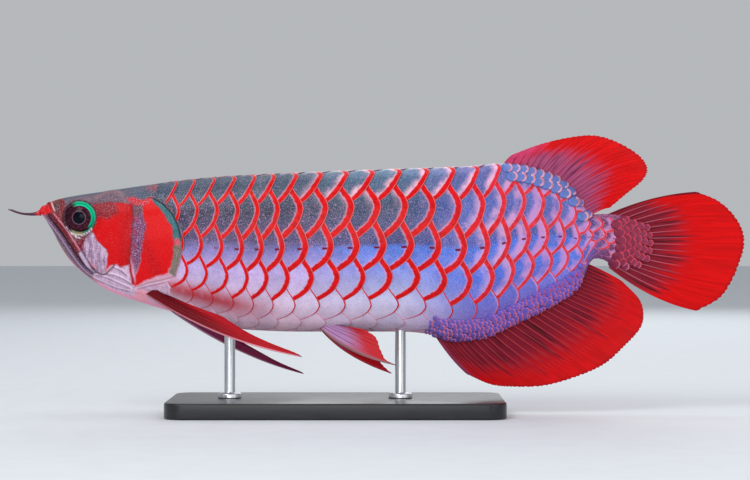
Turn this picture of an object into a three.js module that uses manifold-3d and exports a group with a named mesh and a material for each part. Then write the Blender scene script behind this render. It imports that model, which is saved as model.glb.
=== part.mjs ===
// Adult asian arowana, life size, as a still model held over a flat display base.
// Millimetres, +Z up. The head points to -X and the fish's left side faces -Y.
import * as THREE from 'three';
import { mergeVertices } from 'three/addons/utils/BufferGeometryUtils.js';
import Module from 'manifold-3d';

const wasm = await Module();
wasm.setup();

// Clearance kept between neighbouring pieces, and the open line of the mouth
const GAP = 0.3;
const MOUTH_GAP = 0.6;

// Body lines from the chin tip to the end of the scaled tail root: x, then z, half width or shape
const CHIN_X = -254.6;
const TAIL_ROOT_X = 194.7;
const BACK_LINE = [
  [-254.6, 151.2], [-252.6, 154.2], [-247.6, 157.8], [-238, 161], [-207, 166.3], [-147, 174.5],
  [-110, 177.9], [-20, 182], [70, 185.3], [93, 187.2], [109, 186.2], [119, 183.6], [130, 180],
  [139, 175.6], [147, 169], [152, 161.5], [156, 154.5], [162, 150.3], [171, 150.6], [183, 150.2], [194.7, 147],
];
const BELLY_LINE = [
  [-254.6, 150.6], [-252.4, 146.8], [-245, 137.8], [-237.3, 125.8], [-229.8, 115.2], [-222.3, 107.8],
  [-214.8, 101.7], [-200, 92], [-177.3, 83.8], [-154.8, 77], [-124.8, 68], [-94.8, 62.2], [-57, 60.9],
  [18, 60.9], [40, 59], [58, 54.6], [80, 56.6], [104.7, 68], [123.5, 77], [139.6, 85.8], [149, 92.5],
  [154.6, 100], [158.2, 110], [163, 115.8], [169, 115.6], [178, 110], [194.7, 106.5],
];
const HALF_WIDTH = [
  [-254.6, 0.8], [-252.4, 4.6], [-247.6, 7.6], [-238, 11], [-222, 14.8], [-207, 17.6], [-185, 20.6],
  [-160, 22.6], [-125, 24.6], [-95, 25], [-20, 24.4], [40, 22.4], [80, 19.4], [115, 14.8], [140, 10.6],
  [158, 7.6], [168, 6.4], [180, 4.8], [194.7, 2.8],
];
// How far up the body it is widest, as a share of its depth
const WIDEST_SHARE = [
  [-254.6, 0.5], [-225, 0.5], [-195, 0.54], [-150, 0.6], [-60, 0.62], [60, 0.6], [130, 0.53], [194.7, 0.5],
];
// Section shape: 2 is an ellipse, more is squarer. The back is broad and flat, the belly a keel.
const BACK_SHAPE = [[-254.6, 2.2], [-225, 2.6], [-150, 2.5], [60, 2.3], [130, 2], [194.7, 2]];
const BELLY_SHAPE = [[-254.6, 2], [-225, 1.9], [-150, 1.75], [60, 1.7], [130, 1.9], [194.7, 2]];

const HEAD_STEP = 5;
const TRUNK_STEP = 12;
const TAIL_STEP = 6;
const RING_SIDES = 20;

// Where the body is parted
const NAPE_X = -176;
const MID_TRUNK_X = -42;
const TAIL_X = 96;

// Gape from the snout to the corner of the mouth, then down to the throat: x, z
const GAPE = [
  [-247.9, 158.4], [-242.5, 152.8], [-234.3, 141.5], [-223, 122], [-214, 109.2], [-203.1, 103.6], [-196.5, 88],
];

// Gill cover outline, from the nape round the free rear edge: x, z
const GILL_COVER = [
  [-167.5, 162.5], [-158, 157.5], [-150.5, 148], [-145.2, 134], [-144.6, 118], [-147.5, 108], [-155, 101.6],
  [-170, 98.2], [-182, 98.4], [-189, 105.6], [-186.6, 118], [-184.4, 132], [-182.4, 147], [-180.5, 160.5],
];
const COVER_DEPTH = 5;
const COVER_LIFT = 1.1;

// Eye, measured across its ring, and its tilt outwards
const EYE = { x: -221.5, z: 146.6, radius: 10.4, bulge: 5.4, sink: 1.2, upTilt: 0.16, frontTilt: 0.12 };
const ORBIT_RING = 1.7;

// Ridges over the skin: the lips along the gape, and the edge of the cheek before the gill cover
const UPPER_LIP = [[-245.5, 158.6], [-239.6, 153], [-231.6, 142], [-220.4, 122.8], [-211.6, 111], [-203, 106]];
const LOWER_LIP = [[-248.5, 153], [-244.6, 149.4], [-236.6, 139.6], [-225.6, 121.4], [-216.6, 107.4], [-206, 101.4]];
const LIP_WIDTH = 5;
const LIP_HEIGHT = 1.1;
const CHEEK_RIDGE = [[-196, 158], [-191.5, 146], [-190, 130], [-192.4, 114], [-198.5, 103], [-206, 97]];
const CHEEK_WIDTH = 5;
const CHEEK_HEIGHT = 0.9;

const NOSTRIL = { x: -241.6, z: 155.4, outer: 1.6, inner: 0.8, height: 1.8 };

const BARBEL = {
  path: [[-252.6, 2.2, 150.2], [-259, 3.4, 149.6], [-267, 4.8, 150.4], [-275.7, 6.2, 153.4]],
  rootRadius: 1.3, tipRadius: 0.45, sides: 6, steps: 7,
};

const RAY_THICK = 1.9;
const WEB_THICK = 0.9;
const TIP_THICK = 0.55;
const WEB_NOTCH = 1.4;

// Each fin is ruled by a few rays: root, middle and tip as x, y, z
const DORSAL = {
  rays: [
    [[93.1, 0, 183], [98, 0, 191], [103.7, 0, 195.1]],
    [[107.5, 0, 182.5], [114.4, 0, 194], [122, 0, 202]],
    [[117.5, 0, 179.5], [129.3, 0, 196], [142.8, 0, 207.1]],
    [[127, 0, 176.5], [145, 0, 196.2], [163, 0, 208.9]],
    [[135, 0, 172], [156.5, 0, 192], [179.9, 0, 204.2]],
    [[141.5, 0, 166], [169, 0, 185.2], [196.5, 0, 194.2]],
    [[145.8, 0, 160.5], [174, 0, 177.2], [203.2, 0, 184.2]],
    [[149, 0, 155.5], [174.6, 0, 169.5], [199.8, 0, 175.2]],
    [[152, 0, 151], [171.2, 0, 160.8], [188, 0, 165.2]],
    [[159, 0, 147.6], [168.2, 0, 152.6], [175.2, 0, 154.4]],
  ],
  rayCount: 18, rows: 4, wave: 1.6,
};
const ANAL = {
  rays: [
    [[41.6, 0, 62], [54.6, 0, 43.4], [68, 0, 29.4]],
    [[49, 0, 59], [65.5, 0, 39], [86, 0, 21.7]],
    [[61, 0, 57], [80.7, 0, 36.8], [102.8, 0, 20]],
    [[76.5, 0, 60.5], [101, 0, 38.4], [126.5, 0, 21]],
    [[93, 0, 67], [122.7, 0, 46.4], [150.5, 0, 27.8]],
    [[110, 0, 76], [141.5, 0, 55.4], [170.7, 0, 37]],
    [[124, 0, 83.5], [157.2, 0, 65.6], [185.7, 0, 50.4]],
    [[137.5, 0, 91], [170, 0, 76], [197.7, 0, 63.8]],
    [[146, 0, 98], [176.7, 0, 85.4], [200.4, 0, 74.8]],
    [[151, 0, 106.5], [177, 0, 96], [197, 0, 86.3]],
    [[153, 0, 115], [170.7, 0, 107], [184.4, 0, 99.4]],
  ],
  rayCount: 24, rows: 4, wave: 1.8,
};
const CAUDAL = {
  rays: [
    [[170, 0, 148.2], [205.2, 0, 161], [240.5, 0, 166.6]],
    [[182, 0, 144.5], [221, 0, 157.6], [256.2, 0, 160]],
    [[187, 0, 139.5], [230, 0, 148.6], [267.5, 0, 150]],
    [[188, 0, 133.8], [234.5, 0, 137.8], [274.6, 0, 137.8]],
    [[188, 0, 128], [235, 0, 126.8], [275.7, 0, 125.8]],
    [[188, 0, 122.2], [233, 0, 116.2], [272, 0, 113]],
    [[187, 0, 116], [228, 0, 105], [266, 0, 98.8]],
    [[183, 0, 112.4], [221, 0, 96.6], [257, 0, 86.4]],
    [[174, 0, 109.6], [206.7, 0, 88.6], [240.5, 0, 77]],
  ],
  rayCount: 17, rows: 5, wave: 1.5,
};
// Paired fins are given for the fish's right side, +Y; the left pectoral and pelvic are held higher
const PECTORAL_RIGHT = {
  rays: [
    [[-171, 12, 88], [-113.5, 36, 49.2], [-55.8, 48, 26.8]],
    [[-169.4, 12, 89], [-112.8, 34, 53], [-59.5, 46, 29]],
    [[-167.6, 12, 90], [-117.3, 31, 59], [-75.3, 42, 36]],
    [[-165.6, 12, 90.6], [-126.3, 28, 65.8], [-92.5, 36, 45.8]],
    [[-163.6, 12, 91], [-136, 24, 72], [-112.8, 29, 57]],
  ],
  rayCount: 8, rows: 5, wave: 0,
};
const PECTORAL_LEFT = {
  rays: [
    [[-171, 12, 89.6], [-115.8, 38, 62], [-53.5, 54, 45.5]],
    [[-169.4, 12, 90.6], [-115.8, 35.5, 66.5], [-58.8, 51, 48.3]],
    [[-167.6, 12, 91.6], [-121, 32.5, 72.5], [-78.3, 45, 55.4]],
    [[-165.6, 12, 92.2], [-130, 29, 77.8], [-94.8, 38, 62.8]],
    [[-163.6, 12, 92.6], [-139.8, 25, 83.6], [-113.5, 30, 74]],
  ],
  rayCount: 8, rows: 5, wave: 0,
};
const PELVIC_RIGHT = {
  rays: [
    [[-43, 5, 64], [-19.8, 17, 43.2], [12.5, 27, 28]],
    [[-41, 5, 65], [-16.8, 16, 47], [5, 24, 35]],
    [[-38.6, 5, 65.8], [-16.8, 15, 51.6], [0.5, 21.5, 42.5]],
    [[-36, 5, 66.4], [-19, 14, 56], [-4.8, 19, 49]],
    [[-33.4, 5, 66.8], [-22, 13, 60], [-12.3, 17, 55]],
  ],
  rayCount: 6, rows: 4, wave: 0,
};
const PELVIC_LEFT = {
  rays: [
    [[-43, 5, 65], [-18.3, 20, 48.1], [15.5, 32, 38]],
    [[-41, 5, 66], [-15.3, 18.5, 53], [7.2, 28, 41.8]],
    [[-38.6, 5, 66.8], [-14.5, 17, 57.5], [2.7, 25, 50]],
    [[-36, 5, 67.4], [-15.3, 16, 62.2], [-0.3, 22, 58.2]],
    [[-33.4, 5, 67.8], [-19.8, 15, 65.8], [-8.5, 19, 63.9]],
  ],
  rayCount: 6, rows: 4, wave: 0,
};

// Big scales: columns along the body and rows down its side. Each rim is a run of points
// that starts under the rim of the scale above and ends under the rim of the scale below.
const COLUMN_X = [[-1, -163], [0, -144.2], [10, 47.8], [13, 96.5], [16, 138.5], [19, 172]];
const ROW_DEPTH = [
  [0.4, 0.006], [1, 0.058], [2, 0.223], [3, 0.454], [4, 0.647], [5, 0.817], [6, 0.93], [6.9, 0.99],
];
const COLUMNS = 17;
const ROWS = 5;
const ROW_SHEAR = 0.22;
const SCALE_LIFT = 1.3;
const SCALE_FOOT = 0.3;
const SCALE_CROWN = 0.8;
const SCALE_SINK = -0.9;
const SHELL_DEPTH = 2.6;

const BASE = { length: 250, width: 116, height: 12, corner: 14, bevel: 1.5, x: -30 };
const ROD = { radius: 4, footRadius: 9, footHeight: 3.5, sides: 16, frontX: -110, rearX: 18, reach: 12 };

const COLOURS = {
  head: 0xb3121a, jaw: 0xc8788c, cover: 0xc4101a, trunk: 0x8f9fd6, tail: 0x8c4a86, fin: 0xd01018,
  pectoral: 0x9c1c2c, pelvic: 0xc02430, eye: 0x2a0c10, barbel: 0x2a1424, base: 0x2a2c30, rod: 0xb8bcc2,
};

// Monotone cubic through a few points, as a function of the first value
function curveThrough(points) {
  const count = points.length;
  const slopes = [];
  const chord = (i) => (points[i + 1][1] - points[i][1]) / (points[i + 1][0] - points[i][0]);
  for (let i = 0; i < count; i += 1) {
    const before = chord(Math.max(i - 1, 0));
    const after = chord(Math.min(i, count - 2));
    slopes.push(before * after <= 0 ? 0 : (2 * before * after) / (before + after));
  }
  return (value) => {
    const v = Math.min(Math.max(value, points[0][0]), points[count - 1][0]);
    let i = 0;
    while (i < count - 2 && v > points[i + 1][0]) {
      i += 1;
    }
    const span = points[i + 1][0] - points[i][0];
    const t = (v - points[i][0]) / span;
    const a = points[i][1];
    const b = points[i + 1][1];
    const ease = t * t * (3 - 2 * t);
    const bend = slopes[i] * t * (1 - t) * (1 - t) - slopes[i + 1] * t * t * (1 - t);
    return a + (b - a) * ease + span * bend;
  };
}

const backAt = curveThrough(BACK_LINE);
const bellyAt = curveThrough(BELLY_LINE);
const halfWidthAt = curveThrough(HALF_WIDTH);
const widestShareAt = curveThrough(WIDEST_SHARE);
const backShapeAt = curveThrough(BACK_SHAPE);
const bellyShapeAt = curveThrough(BELLY_SHAPE);
const columnX = curveThrough(COLUMN_X);
const rowDepth = curveThrough(ROW_DEPTH);

// Section of the body at x, grown by some clearance all round
function sectionAt(x, grow) {
  const top = backAt(x) + grow;
  const bottom = bellyAt(x) - grow;
  const level = bottom + widestShareAt(x) * (top - bottom);
  return { top, bottom, level, width: halfWidthAt(x) + grow, up: backShapeAt(x), down: bellyShapeAt(x) };
}

// Half width of the body at a height: (y / w)^n + (z / h)^n = 1
function skinY(x, z) {
  const s = sectionAt(x, 0);
  const n = z > s.level ? s.up : s.down;
  const reach = z > s.level ? s.top - s.level : s.level - s.bottom;
  const share = Math.min(Math.abs(z - s.level) / reach, 1);
  return s.width * (1 - share ** n) ** (1 / n);
}

// Outward direction of the skin on the +Y side
function skinNormal(x, z) {
  const step = 0.5;
  const alongX = (skinY(x + step, z) - skinY(x - step, z)) / (2 * step);
  const alongZ = (skinY(x, z + step) - skinY(x, z - step)) / (2 * step);
  const steepest = 3;
  const clampedZ = Math.min(Math.max(alongZ, -steepest), steepest);
  return new THREE.Vector3(-alongX, 1, -clampedZ).normalize();
}

// Point of the skin on one side (+1 is the fish's right, +Y), lifted along its normal
function onSkin(side, x, z, lift) {
  const p = new THREE.Vector3(x, skinY(x, z), z).addScaledVector(skinNormal(x, z), lift);
  p.y *= side;
  return p;
}

function geometryFrom(positions, triangles) {
  const geometry = new THREE.BufferGeometry();
  const numbers = positions.flatMap((p) => [p.x, p.y, p.z]);
  geometry.setAttribute('position', new THREE.Float32BufferAttribute(numbers, 3));
  geometry.setIndex(triangles.flat());
  return geometry;
}

// A closed mesh as a solid that can be joined and cut, turned right side out
function toSolid(source) {
  let geometry = source.clone();
  geometry.deleteAttribute('normal');
  geometry.deleteAttribute('uv');
  geometry = mergeVertices(geometry, 1e-5);
  const vertProperties = new Float32Array(geometry.attributes.position.array);
  const build = (index) => new wasm.Manifold(new wasm.Mesh({ numProp: 3, vertProperties, triVerts: index }));
  const index = new Uint32Array(geometry.index.array);
  const solid = build(index);
  if (solid.volume() > 0) {
    return solid;
  }
  for (let i = 0; i < index.length; i += 3) {
    [index[i], index[i + 1]] = [index[i + 1], index[i]];
  }
  return build(index);
}

function largestOf(solid) {
  const parts = solid.decompose();
  return parts.reduce((best, part) => (part.volume() > best.volume() ? part : best));
}

function toGeometry(solid) {
  const mesh = solid.getMesh();
  const positions = [];
  for (let i = 0; i < mesh.vertProperties.length; i += mesh.numProp) {
    positions.push(mesh.vertProperties[i], mesh.vertProperties[i + 1], mesh.vertProperties[i + 2]);
  }
  const geometry = new THREE.BufferGeometry();
  geometry.setAttribute('position', new THREE.Float32BufferAttribute(positions, 3));
  geometry.setIndex(Array.from(mesh.triVerts));
  geometry.computeVertexNormals();
  return geometry;
}

// Two like grids of points, one over the other, closed round their border
function sheetBetween(front, back) {
  const rows = front.length;
  const columns = front[0].length;
  const positions = [...front.flat(), ...back.flat()];
  const size = rows * columns;
  const at = (i, j, layer) => layer * size + i * columns + j;
  const triangles = [];
  for (let i = 0; i < rows - 1; i += 1) {
    for (let j = 0; j < columns - 1; j += 1) {
      const alongRow = (i + j) % 2 === 0;
      const corners = [[i, j], [i + 1, j], [i + 1, j + 1], [i, j + 1]];
      const split = alongRow ? [[0, 1, 2], [0, 2, 3]] : [[0, 1, 3], [1, 2, 3]];
      split.forEach(([a, b, c]) => {
        triangles.push([at(...corners[a], 0), at(...corners[b], 0), at(...corners[c], 0)]);
        triangles.push([at(...corners[c], 1), at(...corners[b], 1), at(...corners[a], 1)]);
      });
    }
  }
  const border = [];
  for (let i = 0; i < rows - 1; i += 1) {
    border.push([i, 0]);
  }
  for (let j = 0; j < columns - 1; j += 1) {
    border.push([rows - 1, j]);
  }
  for (let i = rows - 1; i > 0; i -= 1) {
    border.push([i, columns - 1]);
  }
  for (let j = columns - 1; j > 0; j -= 1) {
    border.push([0, j]);
  }
  border.forEach((corner, k) => {
    const next = border[(k + 1) % border.length];
    triangles.push([at(...next, 0), at(...corner, 0), at(...corner, 1)]);
    triangles.push([at(...next, 0), at(...corner, 1), at(...next, 1)]);
  });
  return geometryFrom(positions, triangles);
}

// Rings of equal count joined along, each end closed on its own middle point
function loft(rings) {
  const sides = rings[0].length;
  const positions = rings.flat();
  const triangles = [];
  for (let i = 0; i < rings.length - 1; i += 1) {
    for (let j = 0; j < sides; j += 1) {
      const a = i * sides + j;
      const b = i * sides + ((j + 1) % sides);
      triangles.push([a, b, b + sides], [a, b + sides, a + sides]);
    }
  }
  const capEnd = (ring, first, flip) => {
    const middle = ring.reduce((sum, p) => sum.add(p), new THREE.Vector3()).divideScalar(sides);
    const centre = positions.push(middle) - 1;
    for (let j = 0; j < sides; j += 1) {
      const a = first + j;
      const b = first + ((j + 1) % sides);
      triangles.push(flip ? [b, a, centre] : [a, b, centre]);
    }
  };
  capEnd(rings[0], 0, true);
  capEnd(rings[rings.length - 1], (rings.length - 1) * sides, false);
  return geometryFrom(positions, triangles);
}

function stepsBetween(from, to, step) {
  const count = Math.round((to - from) / step);
  return Array.from({ length: count }, (_, k) => from + ((to - from) * k) / count);
}

// The whole body as one loft: superellipse rings, closer together at the snout and the tail root
function bodySolid(grow, inset) {
  const noseSteps = [CHIN_X - grow, CHIN_X + 1.2, CHIN_X + 3.4];
  const stations = [
    ...noseSteps,
    ...stepsBetween(CHIN_X + 6.5, -180, HEAD_STEP),
    ...stepsBetween(-180, 100, TRUNK_STEP),
    ...stepsBetween(100, TAIL_ROOT_X, TAIL_STEP),
    TAIL_ROOT_X + grow,
  ];
  const rings = stations.map((x) => {
    const s = sectionAt(x, grow);
    const width = Math.max(s.width - inset, 0.3);
    return Array.from({ length: RING_SIDES }, (_, k) => {
      const angle = (2 * Math.PI * k) / RING_SIDES;
      const n = Math.sin(angle) > 0 ? s.up : s.down;
      const reach = Math.sin(angle) > 0 ? s.top - s.level : s.level - s.bottom;
      const across = Math.sign(Math.cos(angle)) * Math.abs(Math.cos(angle)) ** (2 / n);
      const up = Math.sign(Math.sin(angle)) * Math.abs(Math.sin(angle)) ** (2 / n);
      return new THREE.Vector3(x, width * across, s.level + reach * up);
    });
  });
  return toSolid(loft(rings));
}

// Prism across the body from an x-z outline, between two y values
function prism(outline, yFrom, yTo) {
  const shape = new THREE.Shape(outline.map(([x, z]) => new THREE.Vector2(x, z)));
  const geometry = new THREE.ExtrudeGeometry(shape, { depth: yTo - yFrom, bevelEnabled: false, steps: 1 });
  geometry.rotateX(Math.PI / 2);
  geometry.translate(0, yTo, 0);
  return toSolid(geometry);
}

// Everything in front of one x, or behind it
function slab(xFrom, xTo) {
  const box = new THREE.BoxGeometry(xTo - xFrom, 400, 600);
  box.translate((xFrom + xTo) / 2, 0, 100);
  return toSolid(box);
}

// A closed outline moved outwards by some clearance
function grownOutline(outline, grow) {
  const points = outline.map(([x, z]) => new THREE.Vector2(x, z));
  const outwards = THREE.ShapeUtils.area(points) > 0 ? grow : -grow;
  const count = points.length;
  return points.map((p, k) => {
    const tangent = points[(k + 1) % count].clone().sub(points[(k + count - 1) % count]).normalize();
    return [p.x + tangent.y * outwards, p.y - tangent.x * outwards];
  });
}

// A low ridge over the skin along an x-z path, with its back sunk in the flesh
function skinRidge(side, path, width, height) {
  const profile = [[-0.5, -0.7], [-0.3, 0.75], [0, 1], [0.3, 0.75], [0.5, -0.7]];
  const points = new THREE.SplineCurve(path.map(([x, z]) => new THREE.Vector2(x, z)));
  const steps = 7;
  const front = [];
  const back = [];
  for (let i = 0; i <= steps; i += 1) {
    const t = i / steps;
    const centre = points.getPoint(t);
    const tangent = points.getTangent(t);
    const taper = Math.sqrt(Math.sin(Math.PI * (0.06 + 0.88 * t)));
    const row = profile.map(([across, lift]) => ({
      x: centre.x - tangent.y * across * width * taper,
      z: centre.y + tangent.x * across * width * taper,
      lift: lift * height * (lift > 0 ? taper : 1),
    }));
    front.push(row.map((p) => onSkin(side, p.x, p.z, p.lift)));
    back.push(row.map((p) => onSkin(side, p.x, p.z, -SHELL_DEPTH)));
  }
  return toSolid(sheetBetween(front, back));
}

// A fin ruled by its rays: each ray is a crest and the web between two rays is thinner.
// side is 0 for a fin on the midline, or +1 or -1 for a paired fin.
function finSolid(fin, side) {
  const curveOf = (index) => new THREE.CatmullRomCurve3(fin.rays.map((ray) => new THREE.Vector3(...ray[index])));
  const [roots, middles, tips] = [curveOf(0), curveOf(1), curveOf(2)];
  const columns = fin.rayCount * 2 - 1;
  const grid = [];
  for (let i = 0; i < columns; i += 1) {
    const s = i / (columns - 1);
    const root = roots.getPoint(s);
    const middle = middles.getPoint(s);
    const tip = tips.getPoint(s);
    const control = middle.clone().multiplyScalar(2).sub(root.clone().add(tip).multiplyScalar(0.5));
    const onRay = i % 2 === 0;
    const length = root.distanceTo(tip);
    const reach = onRay ? 1 : 1 - WEB_NOTCH / length;
    const ray = new THREE.QuadraticBezierCurve3(root, control, tip);
    const line = [];
    for (let j = 0; j <= fin.rows; j += 1) {
      const t = (j / fin.rows) * reach;
      const p = ray.getPoint(t);
      p.y += fin.wave * Math.sin(5.5 * s + 1.2) * t * t;
      const full = onRay ? RAY_THICK : WEB_THICK;
      line.push({ p, half: (full + (TIP_THICK - full) * t) / 2 });
    }
    grid.push(line);
  }
  const pointAt = (i, j) => grid[Math.min(Math.max(i, 0), columns - 1)][Math.min(Math.max(j, 0), fin.rows)].p;
  const front = [];
  const back = [];
  grid.forEach((line, i) => {
    const faces = line.map(({ p, half }, j) => {
      const across = pointAt(i + 1, j).clone().sub(pointAt(i - 1, j));
      const along = pointAt(i, j + 1).clone().sub(pointAt(i, j - 1));
      const normal = side === 0 ? new THREE.Vector3(0, 1, 0) : across.cross(along).normalize();
      const pair = [p.clone().addScaledVector(normal, half), p.clone().addScaledVector(normal, -half)];
      pair.forEach((q) => {
        q.y *= side === 0 ? 1 : side;
      });
      return pair;
    });
    front.push(faces.map((pair) => pair[0]));
    back.push(faces.map((pair) => pair[1]));
  });
  return toSolid(sheetBetween(front, back));
}

function eyeSolid(side, grow) {
  const ball = new THREE.SphereGeometry(1, 18, 8);
  ball.rotateX(Math.PI / 2);
  ball.scale(EYE.radius + grow, EYE.bulge + grow, EYE.radius + grow);
  ball.rotateX(-EYE.upTilt * side);
  ball.rotateZ(EYE.frontTilt * side);
  const seat = onSkin(side, EYE.x, EYE.z, -EYE.sink);
  ball.translate(seat.x, seat.y, seat.z);
  return toSolid(ball);
}

function orbitRing(side) {
  const ring = new THREE.TorusGeometry(EYE.radius + ORBIT_RING * 0.55, ORBIT_RING, 5, 16);
  ring.rotateX(Math.PI / 2);
  ring.rotateX(-EYE.upTilt * side);
  ring.rotateZ(EYE.frontTilt * side);
  const seat = onSkin(side, EYE.x, EYE.z, -EYE.sink * 0.4);
  ring.translate(seat.x, seat.y, seat.z);
  return toSolid(ring);
}

// A short open tube: the front nostril
function nostril(side) {
  const profile = [
    [0.001, -2.2], [NOSTRIL.outer * 1.2, -2.2], [NOSTRIL.outer, NOSTRIL.height], [NOSTRIL.inner, NOSTRIL.height],
    [NOSTRIL.inner, -0.4], [0.001, -0.4],
  ].map(([r, y]) => new THREE.Vector2(r < 0.01 ? 0 : r, y));
  const tube = new THREE.LatheGeometry(profile, 8);
  const normal = skinNormal(NOSTRIL.x, NOSTRIL.z);
  normal.y *= side;
  tube.applyQuaternion(new THREE.Quaternion().setFromUnitVectors(new THREE.Vector3(0, 1, 0), normal));
  const seat = onSkin(side, NOSTRIL.x, NOSTRIL.z, 0);
  tube.translate(seat.x, seat.y, seat.z);
  return toSolid(tube);
}

function barbelSolid(side) {
  const route = new THREE.CatmullRomCurve3(BARBEL.path.map(([x, y, z]) => new THREE.Vector3(x, y * side, z)));
  const rings = Array.from({ length: BARBEL.steps + 1 }, (_, k) => {
    const t = k / BARBEL.steps;
    const centre = route.getPoint(t);
    const tangent = route.getTangent(t);
    const level = new THREE.Vector3(0, 1, 0).cross(tangent).normalize();
    const sideways = tangent.clone().cross(level);
    const radius = BARBEL.rootRadius + (BARBEL.tipRadius - BARBEL.rootRadius) * t;
    return Array.from({ length: BARBEL.sides }, (__, j) => {
      const angle = (2 * Math.PI * j) / BARBEL.sides;
      return centre.clone()
        .addScaledVector(level, radius * Math.cos(angle))
        .addScaledVector(sideways, radius * Math.sin(angle));
    });
  });
  return toSolid(loft(rings));
}

const trimRounded = (length, width, corner) => {
  const shape = new THREE.Shape();
  const [a, b] = [length / 2, width / 2];
  shape.moveTo(-a + corner, -b);
  shape.lineTo(a - corner, -b);
  shape.absarc(a - corner, -b + corner, corner, -Math.PI / 2, 0, false);
  shape.lineTo(a, b - corner);
  shape.absarc(a - corner, b - corner, corner, 0, Math.PI / 2, false);
  shape.lineTo(-a + corner, b);
  shape.absarc(-a + corner, b - corner, corner, Math.PI / 2, Math.PI, false);
  shape.lineTo(-a, -b + corner);
  shape.absarc(-a + corner, -b + corner, corner, Math.PI, 1.5 * Math.PI, false);
  return shape;
};

function baseSolid() {
  const { length, width, height, corner, bevel, x } = BASE;
  const geometry = new THREE.ExtrudeGeometry(trimRounded(length - 2 * bevel, width - 2 * bevel, corner), {
    depth: height - 2 * bevel, bevelThickness: bevel, bevelSize: bevel, bevelSegments: 1, curveSegments: 5,
  });
  geometry.translate(x, 0, bevel);
  return toSolid(geometry);
}

// A rod with a round foot, standing on the base and reaching up to the keel
function rodSolid(x, top) {
  const foot = BASE.height + GAP;
  const profile = [
    [0, foot], [ROD.footRadius, foot], [ROD.footRadius, foot + ROD.footHeight - 1],
    [ROD.footRadius - 1, foot + ROD.footHeight], [ROD.radius, foot + ROD.footHeight], [ROD.radius, top], [0, top],
  ].map(([r, z]) => new THREE.Vector2(r, z));
  const geometry = new THREE.LatheGeometry(profile, ROD.sides);
  geometry.rotateX(Math.PI / 2);
  geometry.translate(x, 0, 0);
  return toSolid(geometry);
}

// Corner of a scale's rim in columns and rows, from its own rearmost point, and whether it stands
// proud. Low corners are shared with the scales behind.
const RIM = [
  { u: -0.36, r: -0.53, proud: false },
  { u: -0.12, r: -0.4, proud: true },
  { u: 0.04, r: -0.21, proud: true },
  { u: 0.07, r: 0.08, proud: true },
  { u: -0.14, r: 0.47, proud: true },
  { u: -0.42, r: 0.68, proud: true },
  { u: -0.74, r: 0.79, proud: false },
];

// The big scales of one side as a closed shell: every scale is a plate whose rear rim stands over
// the scales behind it and whose front lies low under the rims before it.
function scaleShell(side, grow) {
  const flat = [];
  const levels = [];
  const seen = new Map();
  const cornerAt = (i, j, k, proud) => {
    const u = i + ROW_SHEAR * j + RIM[k].u;
    const r = j + RIM[k].r;
    const key = `${Math.round(u * 100)},${Math.round(r * 100)},${proud}`;
    if (!seen.has(key)) {
      seen.set(key, flat.push([u, r]) - 1);
      levels.push(proud ? SCALE_LIFT : SCALE_FOOT);
    }
    return seen.get(key);
  };
  const triangles = [];
  const isScale = (i, j) => j >= 1 && j <= ROWS && i >= 0 && i < COLUMNS - (j === 1 ? 2 : 0);
  for (let j = 1; j <= ROWS; j += 1) {
    for (let i = 0; i < COLUMNS; i += 1) {
      if (isScale(i, j)) {
        const rim = RIM.map((corner, k) => cornerAt(i, j, k, corner.proud));
        const front = [
          cornerAt(i - 1, j + 1, 1, false), cornerAt(i - 1, j + 1, 0, false), cornerAt(i - 1, j, 3, false),
          cornerAt(i - 1, j, 2, false), cornerAt(i, j - 1, 5, false),
        ];
        const outline = [...rim, ...front];
        const crown = flat.push([i + ROW_SHEAR * j - 0.45, j + 0.12]) - 1;
        levels.push(SCALE_CROWN);
        outline.forEach((corner, k) => triangles.push([crown, corner, outline[(k + 1) % outline.length]]));
        for (let k = 0; k < RIM.length - 1; k += 1) {
          const [a, b] = [rim[k], rim[k + 1]];
          const aLow = RIM[k].proud ? cornerAt(i, j, k, false) : a;
          const bLow = RIM[k + 1].proud ? cornerAt(i, j, k + 1, false) : b;
          if (a !== aLow) {
            triangles.push([a, aLow, b]);
          }
          if (b !== bLow) {
            triangles.push([aLow, bLow, b]);
          }
        }
      }
    }
  }
  const used = new Map();
  triangles.forEach((triangle) => triangle.forEach((from, k) => {
    const to = triangle[(k + 1) % 3];
    const back = `${to},${from}`;
    if (used.has(back)) {
      used.delete(back);
    } else {
      used.set(`${from},${to}`, [from, to]);
    }
  }));
  const border = [...used.values()];
  border.forEach(([from]) => {
    levels[from] = SCALE_SINK;
  });
  const place = ([u, r], lift) => {
    const x = columnX(u);
    const z = backAt(x) + (bellyAt(x) - backAt(x)) * rowDepth(r);
    return onSkin(side, x, z, lift);
  };
  const outer = flat.map((corner, k) => place(corner, levels[k] + (levels[k] > 0 ? grow : 0)));
  const inner = flat.map((corner) => place(corner, -SHELL_DEPTH));
  const under = flat.length;
  const shell = [...triangles, ...triangles.map(([a, b, c]) => [c + under, b + under, a + under])];
  border.forEach(([from, to]) => {
    shell.push([to, from, from + under], [to, from + under, to + under]);
  });
  return toSolid(geometryFrom([...outer, ...inner], shell));
}

const body = bodySolid(0, 0);
const clearBody = bodySolid(GAP, 0);
const coverShell = bodySolid(COVER_LIFT, 0).subtract(bodySolid(0, COVER_DEPTH));
const coverSocket = bodySolid(COVER_LIFT + GAP, 0).subtract(bodySolid(0, COVER_DEPTH + GAP));

const WIDE = 60;
const jawOutline = [...GAPE, [-196.5, 40], [-300, 40], [-300, 175], [-252, 166]];

const coverPrism = (side) => (side > 0 ? prism(GILL_COVER, 1, WIDE) : prism(GILL_COVER, -WIDE, -1));
const socketOutline = grownOutline(GILL_COVER, GAP);
const socketPrism = (side) => (side > 0 ? prism(socketOutline, 0.5, WIDE) : prism(socketOutline, -WIDE, -0.5));

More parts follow.
